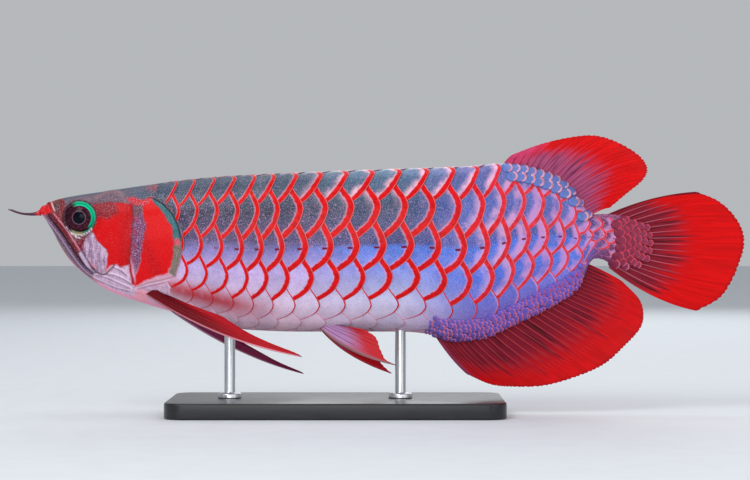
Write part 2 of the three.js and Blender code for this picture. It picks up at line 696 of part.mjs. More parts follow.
const sockets = [1, -1].map((side) => coverSocket.intersect(socketPrism(side)));
const scaled = body.add(scaleShell(1, 0)).add(scaleShell(-1, 0));
const withoutCovers = scaled.subtract(sockets[0]).subtract(sockets[1]);

const bothSides = (make) => [1, -1].map(make);
const joined = (start, pieces) => pieces.reduce((sum, piece) => sum.add(piece), start);
const cleared = (start, pieces) => pieces.reduce((rest, piece) => rest.subtract(piece), start);

const headSlab = scaled.intersect(slab(-300, NAPE_X));
const headTrim = bothSides((side) => [
  orbitRing(side), nostril(side),
  skinRidge(side, UPPER_LIP, LIP_WIDTH, LIP_HEIGHT), skinRidge(side, CHEEK_RIDGE, CHEEK_WIDTH, CHEEK_HEIGHT),
]).flat();
const eyeSockets = bothSides((side) => eyeSolid(side, GAP));
const jawRoom = prism(grownOutline(jawOutline, MOUTH_GAP), -WIDE, WIDE);
const head = cleared(joined(headSlab, headTrim), [jawRoom, ...sockets, ...eyeSockets]);

const lowerLips = bothSides((side) => skinRidge(side, LOWER_LIP, LIP_WIDTH, LIP_HEIGHT));
const jaw = joined(body, lowerLips).intersect(prism(jawOutline, -WIDE, WIDE));
const trunkFront = withoutCovers.intersect(slab(NAPE_X + GAP, MID_TRUNK_X));
const trunkRear = withoutCovers.intersect(slab(MID_TRUNK_X + GAP, TAIL_X));
const tail = withoutCovers.intersect(slab(TAIL_X + GAP, 300));

const onBody = (solid) => solid.subtract(clearBody);
const covers = bothSides((side) => coverShell.intersect(coverPrism(side)));

const dorsal = onBody(finSolid(DORSAL, 0));
const anal = onBody(finSolid(ANAL, 0));
const caudal = onBody(finSolid(CAUDAL, 0));

const parts = [
  ['head', head, COLOURS.head, 0.35],
  ['lower_jaw', jaw, COLOURS.jaw, 0.35],
  ['gill_cover_right', covers[0], COLOURS.cover, 0.3],
  ['gill_cover_left', covers[1], COLOURS.cover, 0.3],
  ['eye_right', eyeSolid(1, 0), COLOURS.eye, 0.08],
  ['eye_left', eyeSolid(-1, 0), COLOURS.eye, 0.08],
  ['barbel_right', onBody(barbelSolid(1)), COLOURS.barbel, 0.5],
  ['barbel_left', onBody(barbelSolid(-1)), COLOURS.barbel, 0.5],
  ['trunk_front', trunkFront, COLOURS.trunk, 0.3],
  ['trunk_rear', trunkRear, COLOURS.trunk, 0.3],
  ['tail_peduncle', tail, COLOURS.tail, 0.35],
  ['dorsal_fin', dorsal, COLOURS.fin, 0.45],
  ['anal_fin', anal, COLOURS.fin, 0.45],
  ['caudal_fin', caudal, COLOURS.fin, 0.45],
  ['pectoral_fin_right', onBody(finSolid(PECTORAL_RIGHT, 1)), COLOURS.pectoral, 0.45],
  ['pectoral_fin_left', onBody(finSolid(PECTORAL_LEFT, -1)), COLOURS.pectoral, 0.45],
  ['pelvic_fin_right', onBody(finSolid(PELVIC_RIGHT, 1)), COLOURS.pelvic, 0.45],
  ['pelvic_fin_left', onBody(finSolid(PELVIC_LEFT, -1)), COLOURS.pelvic, 0.45],
  ['stand_base', baseSolid(), COLOURS.base, 0.25],
  ['stand_rod_front', onBody(rodSolid(ROD.frontX, bellyAt(ROD.frontX) + ROD.reach)), COLOURS.rod, 0.25],
  ['stand_rod_rear', onBody(rodSolid(ROD.rearX, bellyAt(ROD.rearX) + ROD.reach)), COLOURS.rod, 0.25],
];

const arowana = new THREE.Group();
arowana.name = 'asian_arowana';
parts.forEach(([name, solid, color, roughness]) => {
  const metalness = name.startsWith('stand_rod') ? 0.9 : 0;
  const mesh = new THREE.Mesh(
    toGeometry(largestOf(solid)),
    new THREE.MeshStandardMaterial({ color, roughness, metalness }),
  );
  mesh.name = name;
  arowana.add(mesh);
});

export default arowana;
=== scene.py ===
"""Life-size still model of an adult asian arowana over a plain display base.

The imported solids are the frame. The skin, scales, fins, eyes, barbels and stand are surfaces worked
out with numpy in millimetres, and they become metres where they are made into meshes. +Z is up, the
head points to -X and the fish's left side faces -Y, towards the camera.
"""

import logging
from collections.abc import Callable
from dataclasses import dataclass
from enum import Enum

import bmesh
import bpy
import numpy as np
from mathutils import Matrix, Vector


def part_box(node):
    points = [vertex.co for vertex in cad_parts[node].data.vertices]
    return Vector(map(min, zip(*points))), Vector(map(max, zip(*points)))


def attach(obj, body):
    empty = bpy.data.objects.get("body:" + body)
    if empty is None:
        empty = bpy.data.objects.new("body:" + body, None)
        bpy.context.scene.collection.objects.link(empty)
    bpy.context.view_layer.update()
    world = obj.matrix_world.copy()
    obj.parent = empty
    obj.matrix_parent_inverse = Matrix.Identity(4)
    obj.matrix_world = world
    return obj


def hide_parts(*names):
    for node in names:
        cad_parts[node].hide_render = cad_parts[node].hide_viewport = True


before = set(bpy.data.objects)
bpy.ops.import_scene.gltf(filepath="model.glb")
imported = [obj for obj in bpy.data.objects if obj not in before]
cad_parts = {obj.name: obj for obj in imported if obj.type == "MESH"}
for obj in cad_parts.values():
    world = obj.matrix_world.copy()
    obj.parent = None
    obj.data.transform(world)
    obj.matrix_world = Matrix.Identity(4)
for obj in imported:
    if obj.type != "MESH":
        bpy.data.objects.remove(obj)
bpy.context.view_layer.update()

LOG = logging.getLogger("arowana")
MM = 0.001

Array = np.ndarray
Outline = list[tuple[float, float]]
Colour = tuple[float, float, float]


class Side(Enum):
    """Side of the fish, as the sign of its y."""

    RIGHT = 1
    LEFT = -1


class Blend(Enum):
    """How two colours are mixed in a node."""

    MIX = "MIX"
    MULTIPLY = "MULTIPLY"


# Curves and distances


def smooth(low: float, high: float, value: Array) -> Array:
    """Smooth step: t squared times (3 - 2t), with t the share of the way from low to high."""
    t = np.clip((value - low) / (high - low), 0.0, 1.0)
    return t * t * (3.0 - 2.0 * t)


def hump(value: Array, centre: float, width: float) -> Array:
    """Bell round a centre: exp(-((value - centre) / width) squared)."""
    return np.exp(-(((value - centre) / width) ** 2))


def band(value: Array, low: float, high: float, soft: float) -> Array:
    """One between low and high, falling to nothing over a soft edge on each side."""
    return smooth(low - soft, low + soft, value) * (1.0 - smooth(high - soft, high + soft, value))


def curve_through(points: Outline) -> Callable[[Array], Array]:
    """Monotone cubic through a few points, as a function of the first value.

    The slope at a point is 2ab / (a + b) of the chords beside it, and none where they turn.

    Args:
        points: Pairs of value and height, in rising order.

    Returns:
        A function that takes an array of values and gives the heights.
    """
    knots, heights = np.array(points, float).T
    spans = np.diff(knots)
    chords = np.diff(heights) / spans
    before = np.concatenate([chords[:1], chords])
    after = np.concatenate([chords, chords[-1:]])
    total = np.where(before + after == 0.0, 1.0, before + after)
    slopes = np.where(before * after <= 0.0, 0.0, 2.0 * before * after / total)

    def height(value: Array) -> Array:
        """Hermite blend of the two knots round each value."""
        v = np.clip(value, knots[0], knots[-1])
        i = np.clip(np.searchsorted(knots, v, "right") - 1, 0, len(knots) - 2)
        t = (v - knots[i]) / spans[i]
        bend = slopes[i] * t * (1.0 - t) ** 2 - slopes[i + 1] * t * t * (1.0 - t)
        return heights[i] + (heights[i + 1] - heights[i]) * t * t * (3.0 - 2.0 * t) + spans[i] * bend

    return height


def spline(points: Array, shares: Array, closed: bool = False) -> Array:
    """Uniform Catmull-Rom curve through a few points.

    Args:
        points: Points as rows.
        shares: Places along the curve, from 0 to 1.
        closed: Whether the last point leads back to the first.

    Returns:
        One point for each share, as rows.
    """
    count = len(points)
    spans = count if closed else count - 1
    place = np.asarray(shares, float) * spans
    i = np.minimum(place.astype(int), spans - 1)
    t = (place - i)[:, None]
    if closed:
        a, b, c, d = (points[(i + k) % count] for k in (-1, 0, 1, 2))
    else:
        ends = np.vstack([2 * points[0] - points[1], points, 2 * points[-1] - points[-2]])
        a, b, c, d = (ends[i + k] for k in (0, 1, 2, 3))
    cubic = 3 * b - a - 3 * c + d
    square = 2 * a - 5 * b + 4 * c - d
    return 0.5 * (2 * b + (c - a) * t + square * t * t + cubic * t**3)


def rounded(path: Outline, count: int = 40) -> Array:
    """A few x-z points made into a smooth open line of many."""
    return spline(np.array(path, float), np.linspace(0.0, 1.0, count))


def along_line(line: Array, x: Array, z: Array) -> tuple[Array, Array]:
    """Distance from a run of x-z points, and where along it the nearest point is.

    Args:
        line: The run's points as rows.
        x: Places to measure, x.
        z: Places to measure, z.

    Returns:
        The distance, positive to the left of the run's direction, and the share from 0 to 1.
    """
    lengths = np.hypot(*np.diff(line, axis=0).T)
    starts = np.concatenate([[0.0], np.cumsum(lengths)])
    best = np.full(np.shape(x), 1e9)
    sign = np.ones(np.shape(x))
    share = np.zeros(np.shape(x))
    for k, length in enumerate(lengths):
        (ax, az), (bx, bz) = line[k], line[k + 1]
        dx, dz = bx - ax, bz - az
        t = np.clip(((x - ax) * dx + (z - az) * dz) / max(length**2, 1e-12), 0.0, 1.0)
        gap = np.hypot(x - ax - t * dx, z - az - t * dz)
        nearer = gap < best
        best = np.where(nearer, gap, best)
        sign = np.where(nearer, np.where(dx * (z - az) - dz * (x - ax) >= 0.0, 1.0, -1.0), sign)
        share = np.where(nearer, (starts[k] + t * length) / starts[-1], share)
    return best * sign, share


def full_turn(count: int) -> Array:
    """Angles evenly spaced round a full turn, from nothing."""
    return 2.0 * np.pi * np.arange(count) / count


def depth_in(outline: Outline, x: Array, z: Array) -> Array:
    """Distance from a closed outline's edge, positive inside it and negative outside."""
    corners = np.array(outline + outline[:1], float)
    edge = np.abs(along_line(corners, x, z)[0])
    inside = np.zeros(np.shape(x), bool)
    for (ax, az), (bx, bz) in zip(corners[:-1], corners[1:]):
        crosses = (az > z) != (bz > z)
        meet = ax + (z - az) * (bx - ax) / (bz - az if bz != az else 1.0)
        inside ^= crosses & (x < meet)
    return np.where(inside, edge, -edge)


def linear(red: float, green: float, blue: float) -> Colour:
    """A colour of 0 to 255 per channel as the linear values that a shader takes."""
    c = np.array([red, green, blue]) / 255.0
    return tuple(np.where(c <= 0.04045, c / 12.92, ((c + 0.055) / 1.055) ** 2.4))


# Meshes


def grid_faces(rows: int, columns: int, wrap: bool = False) -> Array:
    """Quads over a grid of points stored row after row, joined round if wrap is set."""
    spans = columns if wrap else columns - 1
    i, j = np.meshgrid(np.arange(rows - 1), np.arange(spans), indexing="ij")
    a, b = i * columns + j, i * columns + (j + 1) % columns
    return np.stack([a, b, b + columns, a + columns], -1).reshape(-1, 4)


def fan_faces(centre: int, first: int, count: int) -> Array:
    """Triangles from one point to a closed ring of points."""
    k = np.arange(count)
    return np.stack([np.full(count, centre), first + k, first + (k + 1) % count], -1)


def tube_faces(rows: int, around: int) -> list[Array]:
    """Wall of a closed tube of rings, and a fan to each of the two end points that are stored last."""
    last = (rows - 1) * around
    wall = grid_faces(rows, around, wrap=True)
    return [wall, fan_faces(last + around, 0, around), fan_faces(last + around + 1, last, around)]


def sheet_faces(rows: int, columns: int) -> Array:
    """Quads of two like grids, one after the other, closed round their border into a solid."""
    size = rows * columns
    front = grid_faces(rows, columns)
    border = np.concatenate([
        np.arange(columns), np.arange(1, rows) * columns + columns - 1,
        (rows - 1) * columns + np.arange(columns - 2, -1, -1), np.arange(rows - 2, 0, -1) * columns,
    ])
    following = np.roll(border, -1)
    wall = np.stack([following, border, border + size, following + size], -1)
    return np.vstack([front, front[:, ::-1] + size, wall])


def new_piece(
    name: str, points: Array, faces: list[Array], values: dict[str, Array] | None = None
) -> bpy.types.Object:
    """Makes an object at the origin from points in millimetres, with its faces turned outwards.

    Args:
        name: Name of the piece.
        points: Points as rows, in millimetres.
        faces: Arrays of triangles or quads.
        values: Named values for each point: one number, or three for a colour.

    Returns:
        The object, linked to the scene and riding on the model's one body.
    """
    mesh = bpy.data.meshes.new(name)
    mesh.from_pydata((points * MM).tolist(), [], [f for block in faces for f in block.tolist()])
    work = bmesh.new()
    work.from_mesh(mesh)
    bmesh.ops.recalc_face_normals(work, faces=work.faces)
    work.to_mesh(mesh)
    work.free()
    for key, value in (values or {}).items():
        colour = value.ndim == 2
        store = mesh.attributes.new(key, "FLOAT_COLOR" if colour else "FLOAT", "POINT")
        full = np.column_stack([value, np.ones(len(value))]) if colour else value
        store.data.foreach_set("color" if colour else "value", full.astype(np.float32).ravel())
    mesh.shade_smooth()
    piece = bpy.data.objects.new(name, mesh)
    bpy.context.scene.collection.objects.link(piece)
    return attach(piece, "root")


def settle(piece: bpy.types.Object, material: bpy.types.Material, slot: str, *nodes: str) -> None:
    """Gives a piece its finish, has it stand for its solids, and reports it.

    Args:
        piece: The piece.
        material: Its finish.
        slot: Name of its slot; not used.
        nodes: Solids that it replaces.
    """
    piece.data.materials.append(material)
    if nodes:
        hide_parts(*nodes)
    replaced = ", ".join(nodes) or "nothing"
    LOG.info("%s: %d faces, replaces %s", piece.name, len(piece.data.polygons), replaced)


def add_patches(piece: bpy.types.Object, places: Array) -> None:
    """Stores one u-v place for each point, as the map named OFBake.

    Args:
        piece: The piece.
        places: One u-v place for each point, as rows.
    """
    mesh = piece.data
    corner = np.zeros(len(mesh.loops), np.int32)
    mesh.loops.foreach_get("vertex_index", corner)
    layer = mesh.uv_layers.new(name="OFBake")
    layer.data.foreach_set("uv", places[corner].astype(np.float32).ravel())


# Shader nodes


class Graph:
    """Short calls that add nodes to one tree and link them."""

    def __init__(self, tree: bpy.types.NodeTree) -> None:
        """Starts on an empty tree."""
        self.tree = tree
        tree.nodes.clear()

    def add(self, kind: str, **settings: object) -> bpy.types.Node:
        """Adds a node, with its settings by name."""
        node = self.tree.nodes.new(kind)
        node.location = (180.0 * len(self.tree.nodes), 0.0)
        for key, value in settings.items():
            setattr(node, key, value)
        return node

    def feed(self, socket: bpy.types.NodeSocket, value: object) -> None:
        """Links a socket to another one, or sets its value."""
        if isinstance(value, bpy.types.NodeSocket):
            self.tree.links.new(value, socket)
        elif isinstance(value, tuple) and len(socket.default_value) == 4:
            socket.default_value = (*value[:3], 1.0)
        else:
            socket.default_value = value

    def math(self, operation: str, *values: object, clamp: bool = False) -> bpy.types.NodeSocket:
        """Adds one sum on numbers or sockets."""
        node = self.add("ShaderNodeMath", operation=operation, use_clamp=clamp)
        for socket, value in zip(node.inputs, values):
            self.feed(socket, value)
        return node.outputs[0]

    def times(self, first: object, second: object, clamp: bool = False) -> bpy.types.NodeSocket:
        """The product of two numbers or sockets."""
        return self.math("MULTIPLY", first, second, clamp=clamp)

    def mix(
        self, share: object, first: object, second: object, how: Blend = Blend.MIX
    ) -> bpy.types.NodeSocket:
        """Mixes two colours by a share from 0 to 1."""
        node = self.add("ShaderNodeMix", data_type="RGBA", blend_type=how.value)
        for index, value in ((0, share), (6, first), (7, second)):
            self.feed(node.inputs[index], value)
        return node.outputs[2]

    def steps(self, value: object, low: float, high: float) -> bpy.types.NodeSocket:
        """Smooth step of a value between two bounds."""
        node = self.add("ShaderNodeMapRange", interpolation_type="SMOOTHSTEP")
        self.feed(node.inputs["Value"], value)
        node.inputs["From Min"].default_value = low
        node.inputs["From Max"].default_value = high
        return node.outputs["Result"]

    def ramp(self, value: object, stops: tuple[tuple[float, Colour], ...]) -> bpy.types.NodeSocket:
        """Colour ramp through places and colours of 0 to 255."""
        node = self.add("ShaderNodeValToRGB")
        elements = node.color_ramp.elements
        while len(elements) < len(stops):
            elements.new(0.5)
        for element, (place, colour) in zip(elements, stops):
            element.position = place
            element.color = (*linear(*colour), 1.0)
        self.feed(node.inputs[0], value)
        return node.outputs["Color"]

    def value(self, name: str) -> bpy.types.NodeSocket:
        """A number stored on the piece's points."""
        return self.add("ShaderNodeAttribute", attribute_name=name).outputs["Fac"]

    def tint(self, name: str) -> bpy.types.NodeSocket:
        """A colour stored on the piece's points."""
        return self.add("ShaderNodeAttribute", attribute_name=name).outputs["Color"]

    def noise(
        self, scale: float, detail: float = 2.0, stretch: Vector | None = None
    ) -> bpy.types.NodeSocket:
        """Noise over the object's own coordinates, stretched along its axes if asked."""
        place = self.add("ShaderNodeTexCoord").outputs["Object"]
        if stretch:
            turn = self.add("ShaderNodeMapping")
            turn.inputs["Scale"].default_value = stretch
            self.feed(turn.inputs["Vector"], place)
            place = turn.outputs["Vector"]
        return self.noise_at(place, scale, detail)

    def noise_at(self, place: bpy.types.NodeSocket, scale: float, detail: float) -> bpy.types.NodeSocket:
        """Noise over any coordinates."""
        node = self.add("ShaderNodeTexNoise")
        self.feed(node.inputs["Vector"], place)
        node.inputs["Scale"].default_value = scale
        node.inputs["Detail"].default_value = detail
        return node.outputs["Fac"]

    def bump(self, height: object, strength: float, distance: float) -> bpy.types.NodeSocket:
        """Surface normal raised by a height."""
        node = self.add("ShaderNodeBump")
        node.inputs["Strength"].default_value = strength
        node.inputs["Distance"].default_value = distance
        self.feed(node.inputs["Height"], height)
        return node.outputs["Normal"]

    def place_group(self, group: bpy.types.NodeTree, **values: object) -> bpy.types.Node:
        """Places a shared group and sets or links its inputs by name."""
        node = self.add("ShaderNodeGroup", node_tree=group)
        for key, value in values.items():
            self.feed(node.inputs[key], value)
        return node


def new_group(name: str, inputs: dict[str, str], outputs: dict[str, str]) -> tuple[Graph, dict, dict]:
    """Starts a shared group of nodes.

    Args:
        name: Name of the group.
        inputs: Its inputs, as name and kind of socket.
        outputs: Its outputs, in the same way.

    Returns:
        The group's graph, its input sockets by name and its output sockets by name.
    """
    tree = bpy.data.node_groups.new(name, "ShaderNodeTree")
    graph = Graph(tree)
    for direction, sockets in (("INPUT", inputs), ("OUTPUT", outputs)):
        for key, kind in sockets.items():
            tree.interface.new_socket(key, in_out=direction, socket_type=f"NodeSocket{kind}")
    enter = graph.add("NodeGroupInput")
    leave = graph.add("NodeGroupOutput")
    return graph, {key: enter.outputs[key] for key in inputs}, {key: leave.inputs[key] for key in outputs}


def make_fleck_group() -> bpy.types.NodeTree:
    """Fine grain: light and dark flecks over a colour, and the little relief that goes with them."""
    graph, given, wanted = new_group(
        "flecks", {"Colour": "Color", "Fleck": "Color", "Amount": "Float"},
        {"Colour": "Color", "Height": "Float"},
    )
    fine = graph.noise(1500.0, 2.0)
    broad = graph.noise(140.0, 3.0)
    light = graph.times(graph.steps(fine, 0.5, 0.72), given["Amount"], clamp=True)
    dark = graph.times(graph.steps(fine, 0.48, 0.3), given["Amount"], clamp=True)
    patch = graph.times(graph.steps(broad, 0.35, 0.7), given["Amount"], clamp=True)
    lit = graph.mix(light, given["Colour"], given["Fleck"])
    shaded = graph.mix(dark, lit, (0.3, 0.3, 0.34), Blend.MULTIPLY)
    soft = graph.mix(patch, shaded, (0.78, 0.76, 0.8), Blend.MULTIPLY)
    graph.feed(wanted["Colour"], soft)
    graph.feed(wanted["Height"], fine)
    return graph.tree


def make_ray_group() -> bpy.types.NodeTree:
    """Fin rays: a line colour along each ray, and the ray's own relief with its short joints."""
    graph, given, wanted = new_group(
        "fin_rays",
        {"Web": "Color", "Line": "Color", "Ray": "Float", "Along": "Float", "Strength": "Float",
         "Streak": "Float"},
        {"Colour": "Color", "Height": "Float"},
    )
    crest = graph.steps(given["Ray"], 0.45, 0.95)
    joint = graph.math("SINE", graph.times(given["Along"], 210.0))
    streaks = graph.steps(given["Streak"], 0.35, 0.65)
    web = graph.mix(graph.times(streaks, 0.4), given["Web"], (0.45, 0.35, 0.4), Blend.MULTIPLY)
    on_ray = graph.times(crest, given["Strength"])
    graph.feed(wanted["Colour"], graph.mix(on_ray, web, given["Line"]))
    ridges = graph.times(graph.times(joint, crest), 0.12)
    graph.feed(wanted["Height"], graph.math("ADD", ridges, graph.times(streaks, 0.2)))
    return graph.tree


@dataclass(frozen=True)
class Gloss:
    """How a surface shines: the values that are the same all over it."""

    roughness: float = 0.35
    metallic: float = 0.0
    coat: float = 0.3
    coat_roughness: float = 0.12
    specular: float = 0.25

    def start(self, name: str) -> tuple[bpy.types.Material, Graph, bpy.types.Node]:
        """Starts a material.

        Args:
            name: Name of the material.

        Returns:
            The material, its graph and its surface shader.
        """
        material = bpy.data.materials.new(name)
        material.use_nodes = True
        graph = Graph(material.node_tree)
        shader = graph.add("ShaderNodeBsdfPrincipled")
        graph.feed(graph.add("ShaderNodeOutputMaterial").inputs["Surface"], shader.outputs[0])
        shader.inputs["Roughness"].default_value = self.roughness
        shader.inputs["Metallic"].default_value = self.metallic
        shader.inputs["Coat Weight"].default_value = self.coat
        shader.inputs["Coat Roughness"].default_value = self.coat_roughness
        shader.inputs["Coat IOR"].default_value = 1.38
        shader.inputs["Specular IOR Level"].default_value = self.specular
        return material, graph, shader


@dataclass(frozen=True)
class SkinFinish:
    """Wet skin and bony plates: the colours laid on the points, with flecks and striations."""

    gloss: Gloss = Gloss(0.42, 0.0, 0.1, 0.1, 0.08)

    def make(self, flecks: bpy.types.NodeTree) -> bpy.types.Material:
        """Makes the material from the stored colour and the two stored amounts."""
        material, graph, shader = self.gloss.start("wet_skin")
        grain = graph.place_group(
            flecks, Colour=graph.tint("tint"), Fleck=linear(235, 190, 215), Amount=graph.value("mottle")
        )
        lines = graph.noise(150.0, 2.0, Vector((3.2, 1.0, 0.8)))
        striated = graph.times(graph.steps(lines, 0.35, 0.65), graph.value("striation"))
        pale = graph.mix(0.5, grain.outputs["Colour"], linear(235, 215, 235))
        graph.feed(shader.inputs["Base Color"], graph.mix(striated, grain.outputs["Colour"], pale))
        height = graph.math("ADD", graph.times(grain.outputs["Height"], 0.35), striated)
        graph.feed(shader.inputs["Normal"], graph.bump(height, 0.35, 0.0004))
        return material


@dataclass(frozen=True)
class ScaleFinish:
    """Scales: a rim round a pearly centre, whose colour runs down the side and along it."""

    name: str
    rim: Colour = (216, 8, 12)
    rear_rim: Colour = (226, 62, 84)
    wash: Colour | None = None
    gloss: Gloss = Gloss(0.36, 0.2, 0.12, 0.1, 0.09)

    # Centres by depth below the back, for the front, the middle and the rear of the fish
    front = (
        (0.0, (78, 106, 118)), (0.14, (62, 84, 94)), (0.24, (56, 68, 80)), (0.42, (78, 74, 106)),
        (0.5, (140, 136, 196)), (0.62, (214, 192, 242)), (0.8, (240, 218, 242)), (1.0, (244, 200, 214)),
    )
    middle = (
        (0.0, (92, 140, 164)), (0.13, (70, 104, 126)), (0.22, (60, 86, 104)), (0.45, (62, 74, 120)),
        (0.475, (84, 138, 232)), (0.6, (140, 162, 244)), (0.78, (218, 220, 250)), (1.0, (238, 212, 232)),
    )
    rear = (
        (0.0, (110, 120, 180)), (0.2, (84, 112, 186)), (0.44, (74, 94, 168)), (0.48, (76, 124, 222)),
        (0.65, (78, 122, 226)), (0.82, (116, 120, 214)), (1.0, (150, 90, 170)),
    )
    tail_root = (124, 54, 88)
    low_rim = (214, 110, 140)
    halo = (238, 150, 170)
    # Red of the painted reflection of the pectoral fin on the flank
    fin_reflection = (186, 48, 58)
    lip = (255, 168, 176)
    pore = (110, 12, 34)

    def make(self, flecks: bpy.types.NodeTree) -> bpy.types.Material:
        """Makes the material from the values stored on the scales' points.

        Args:
            flecks: The shared group of fine grain.

        Returns:
            The material.
        """
        material, graph, shader = self.gloss.start(self.name)
        depth, along = graph.value("depth"), graph.value("along")
        ground = graph.mix(
            graph.steps(along, 0.22, 0.5), graph.ramp(depth, self.front), graph.ramp(depth, self.middle)
        )
        ground = graph.mix(graph.steps(along, 0.47, 0.68), ground, graph.ramp(depth, self.rear))
        ground = graph.mix(graph.steps(along, 0.86, 0.95), ground, linear(*self.tail_root))
        grain = graph.place_group(
            flecks, Colour=ground, Fleck=linear(200, 150, 190), Amount=graph.value("grain")
        )
        ragged = graph.times(graph.math("SUBTRACT", graph.noise(420.0, 2.0), 0.5), 0.5)
        rim_place = graph.math("ADD", graph.value("rim"), ragged)
        on_rim = graph.steps(rim_place, 1.12, 0.92)
        centre = self.centre(graph, grain.outputs["Colour"], rim_place, along)
        colour = graph.mix(on_rim, centre, self.red(graph, depth, along))
        lip = graph.times(graph.steps(graph.value("rim"), 0.16, 0.04), 0.6)
        colour = graph.mix(lip, colour, linear(*self.lip))
        colour = graph.mix(self.pore_mask(graph), colour, linear(*self.pore))
        graph.feed(shader.inputs["Base Color"], colour)
        graph.feed(shader.inputs["Metallic"], graph.times(graph.math("SUBTRACT", 1.0, on_rim), 0.28))
        rings = graph.math("SINE", graph.times(graph.value("growth"), 75.0))
        height = graph.math("ADD", graph.times(rings, 0.22), grain.outputs["Height"])
        graph.feed(shader.inputs["Normal"], graph.bump(height, 0.3, 0.0003))
        return material

    def centre(
        self, graph: Graph, ground: bpy.types.NodeSocket, rim_place: bpy.types.NodeSocket,
        along: bpy.types.NodeSocket,
    ) -> bpy.types.NodeSocket:
        """Colour inside the rim: the ground toned scale by scale, with frost, halo, wash and a painted
        reflection of the red pectoral fin.

        Args:
            graph: The material's graph.
            ground: The speckled ground colour.
            rim_place: Place across the rim, one at its inner edge.
            along: Share along the fish.

        Returns:
            The colour.
        """
        tone = graph.mix(graph.value("tone"), (0.78, 0.8, 0.86), (1.0, 0.98, 1.0))
        centre = graph.mix(1.0, ground, tone, Blend.MULTIPLY)
        near = graph.math("SUBTRACT", rim_place, graph.times(graph.steps(along, 0.6, 0.8), 1.1))
        patchy = graph.times(graph.steps(graph.noise(95.0, 3.0), 0.28, 0.6), graph.value("frost"))
        frost = graph.times(graph.steps(near, 2.6, 1.0), patchy)
        pale = graph.mix(graph.steps(along, 0.62, 0.8), linear(252, 196, 214), linear(200, 142, 198))
        centre = graph.mix(frost, centre, pale)
        halo = graph.times(graph.steps(rim_place, 1.45, 1.0), 0.55)
        centre = graph.mix(halo, centre, linear(*self.halo))
        if self.wash:
            centre = graph.mix(0.85, centre, linear(*self.wash))
        # Painted reflection of the red pectoral fin on the lower flank
        return graph.mix(graph.value("fin_reflection"), centre, linear(*self.fin_reflection))

    def red(
        self, graph: Graph, depth: bpy.types.NodeSocket, along: bpy.types.NodeSocket
    ) -> bpy.types.NodeSocket:
        """Colour of the rim: duller to the rear, clouded, and pale on the belly."""
        red = graph.mix(graph.steps(along, 0.55, 0.9), linear(*self.rim), linear(*self.rear_rim))
        red = graph.mix(graph.steps(graph.noise(300.0), 0.35, 0.7), red, (0.72, 0.5, 0.5), Blend.MULTIPLY)
        return graph.mix(graph.steps(depth, 0.84, 0.94), red, linear(*self.low_rim))

    def pore_mask(self, graph: Graph) -> bpy.types.NodeSocket:
        """Short dash of the lateral line, a little ahead of the rim."""
        across = graph.math("ABSOLUTE", graph.math("SUBTRACT", graph.value("lower"), 0.1))
        ahead = graph.math("ABSOLUTE", graph.math("ADD", graph.value("forward"), 0.31))
        dash = graph.times(graph.steps(across, 0.045, 0.02), graph.steps(ahead, 0.13, 0.08))
        return graph.times(dash, graph.value("pore"))


@dataclass(frozen=True)
class FinFinish:
    """Fin membrane: a root colour, an outer colour, a leading edge and lines along the rays."""

    name: str
    root: Colour
    outer: Colour
    # Colour of the leading edge; on the near pectoral it is a painted highlight along the first ray
    lead: Colour
    line: Colour
    root_reach: float = 0.6
    lead_width: float = 0.12
    line_strength: float = 0.6
    rear_pull: float = 0.35
    line_reach: float = 0.9
    gloss: Gloss = Gloss(0.45, 0.0, 0.05, 0.18, 0.08)

    def make(self, rays: bpy.types.NodeTree) -> bpy.types.Material:
        """Makes the material from the stored shares along and across the fin."""
        material, graph, shader = self.gloss.start(self.name)
        across, along, ray = graph.value("across"), graph.value("along"), graph.value("ray")
        lie = graph.add("ShaderNodeCombineXYZ")
        graph.feed(lie.inputs["X"], graph.times(across, 46.0))
        graph.feed(lie.inputs["Y"], graph.times(along, 1.6))
        streak = graph.noise_at(lie.outputs["Vector"], 1.0, 3.0)
        drift = graph.times(graph.math("SUBTRACT", streak, 0.5), 0.8)
        pull = graph.times(across, self.rear_pull)
        place = graph.math("ADD", graph.math("ADD", along, drift), pull)
        low, high = self.root_reach * 0.55, self.root_reach * 1.25
        web = graph.mix(graph.steps(place, low, high), linear(*self.root), linear(*self.outer))
        lead_place = graph.math("ADD", across, graph.times(drift, 0.15))
        lead = graph.steps(lead_place, self.lead_width, self.lead_width * 0.35)
        web = graph.mix(lead, web, linear(*self.lead))
        dark = graph.times(graph.steps(streak, 0.5, 0.3), graph.steps(place, high, low))
        web = graph.mix(dark, web, (0.3, 0.22, 0.3), Blend.MULTIPLY)
        fade = graph.times(graph.steps(along, self.line_reach, 0.2), self.line_strength)
        lines = graph.place_group(
            rays, Web=web, Line=linear(*self.line), Ray=ray, Along=along, Strength=fade, Streak=streak
        )
        margin = graph.times(graph.steps(along, 0.95, 1.0), 0.35)
        colour = graph.mix(margin, lines.outputs["Colour"], linear(120, 5, 20))
        graph.feed(shader.inputs["Base Color"], colour)
        graph.feed(shader.inputs["Normal"], graph.bump(lines.outputs["Height"], 0.4, 0.0004))
        return material


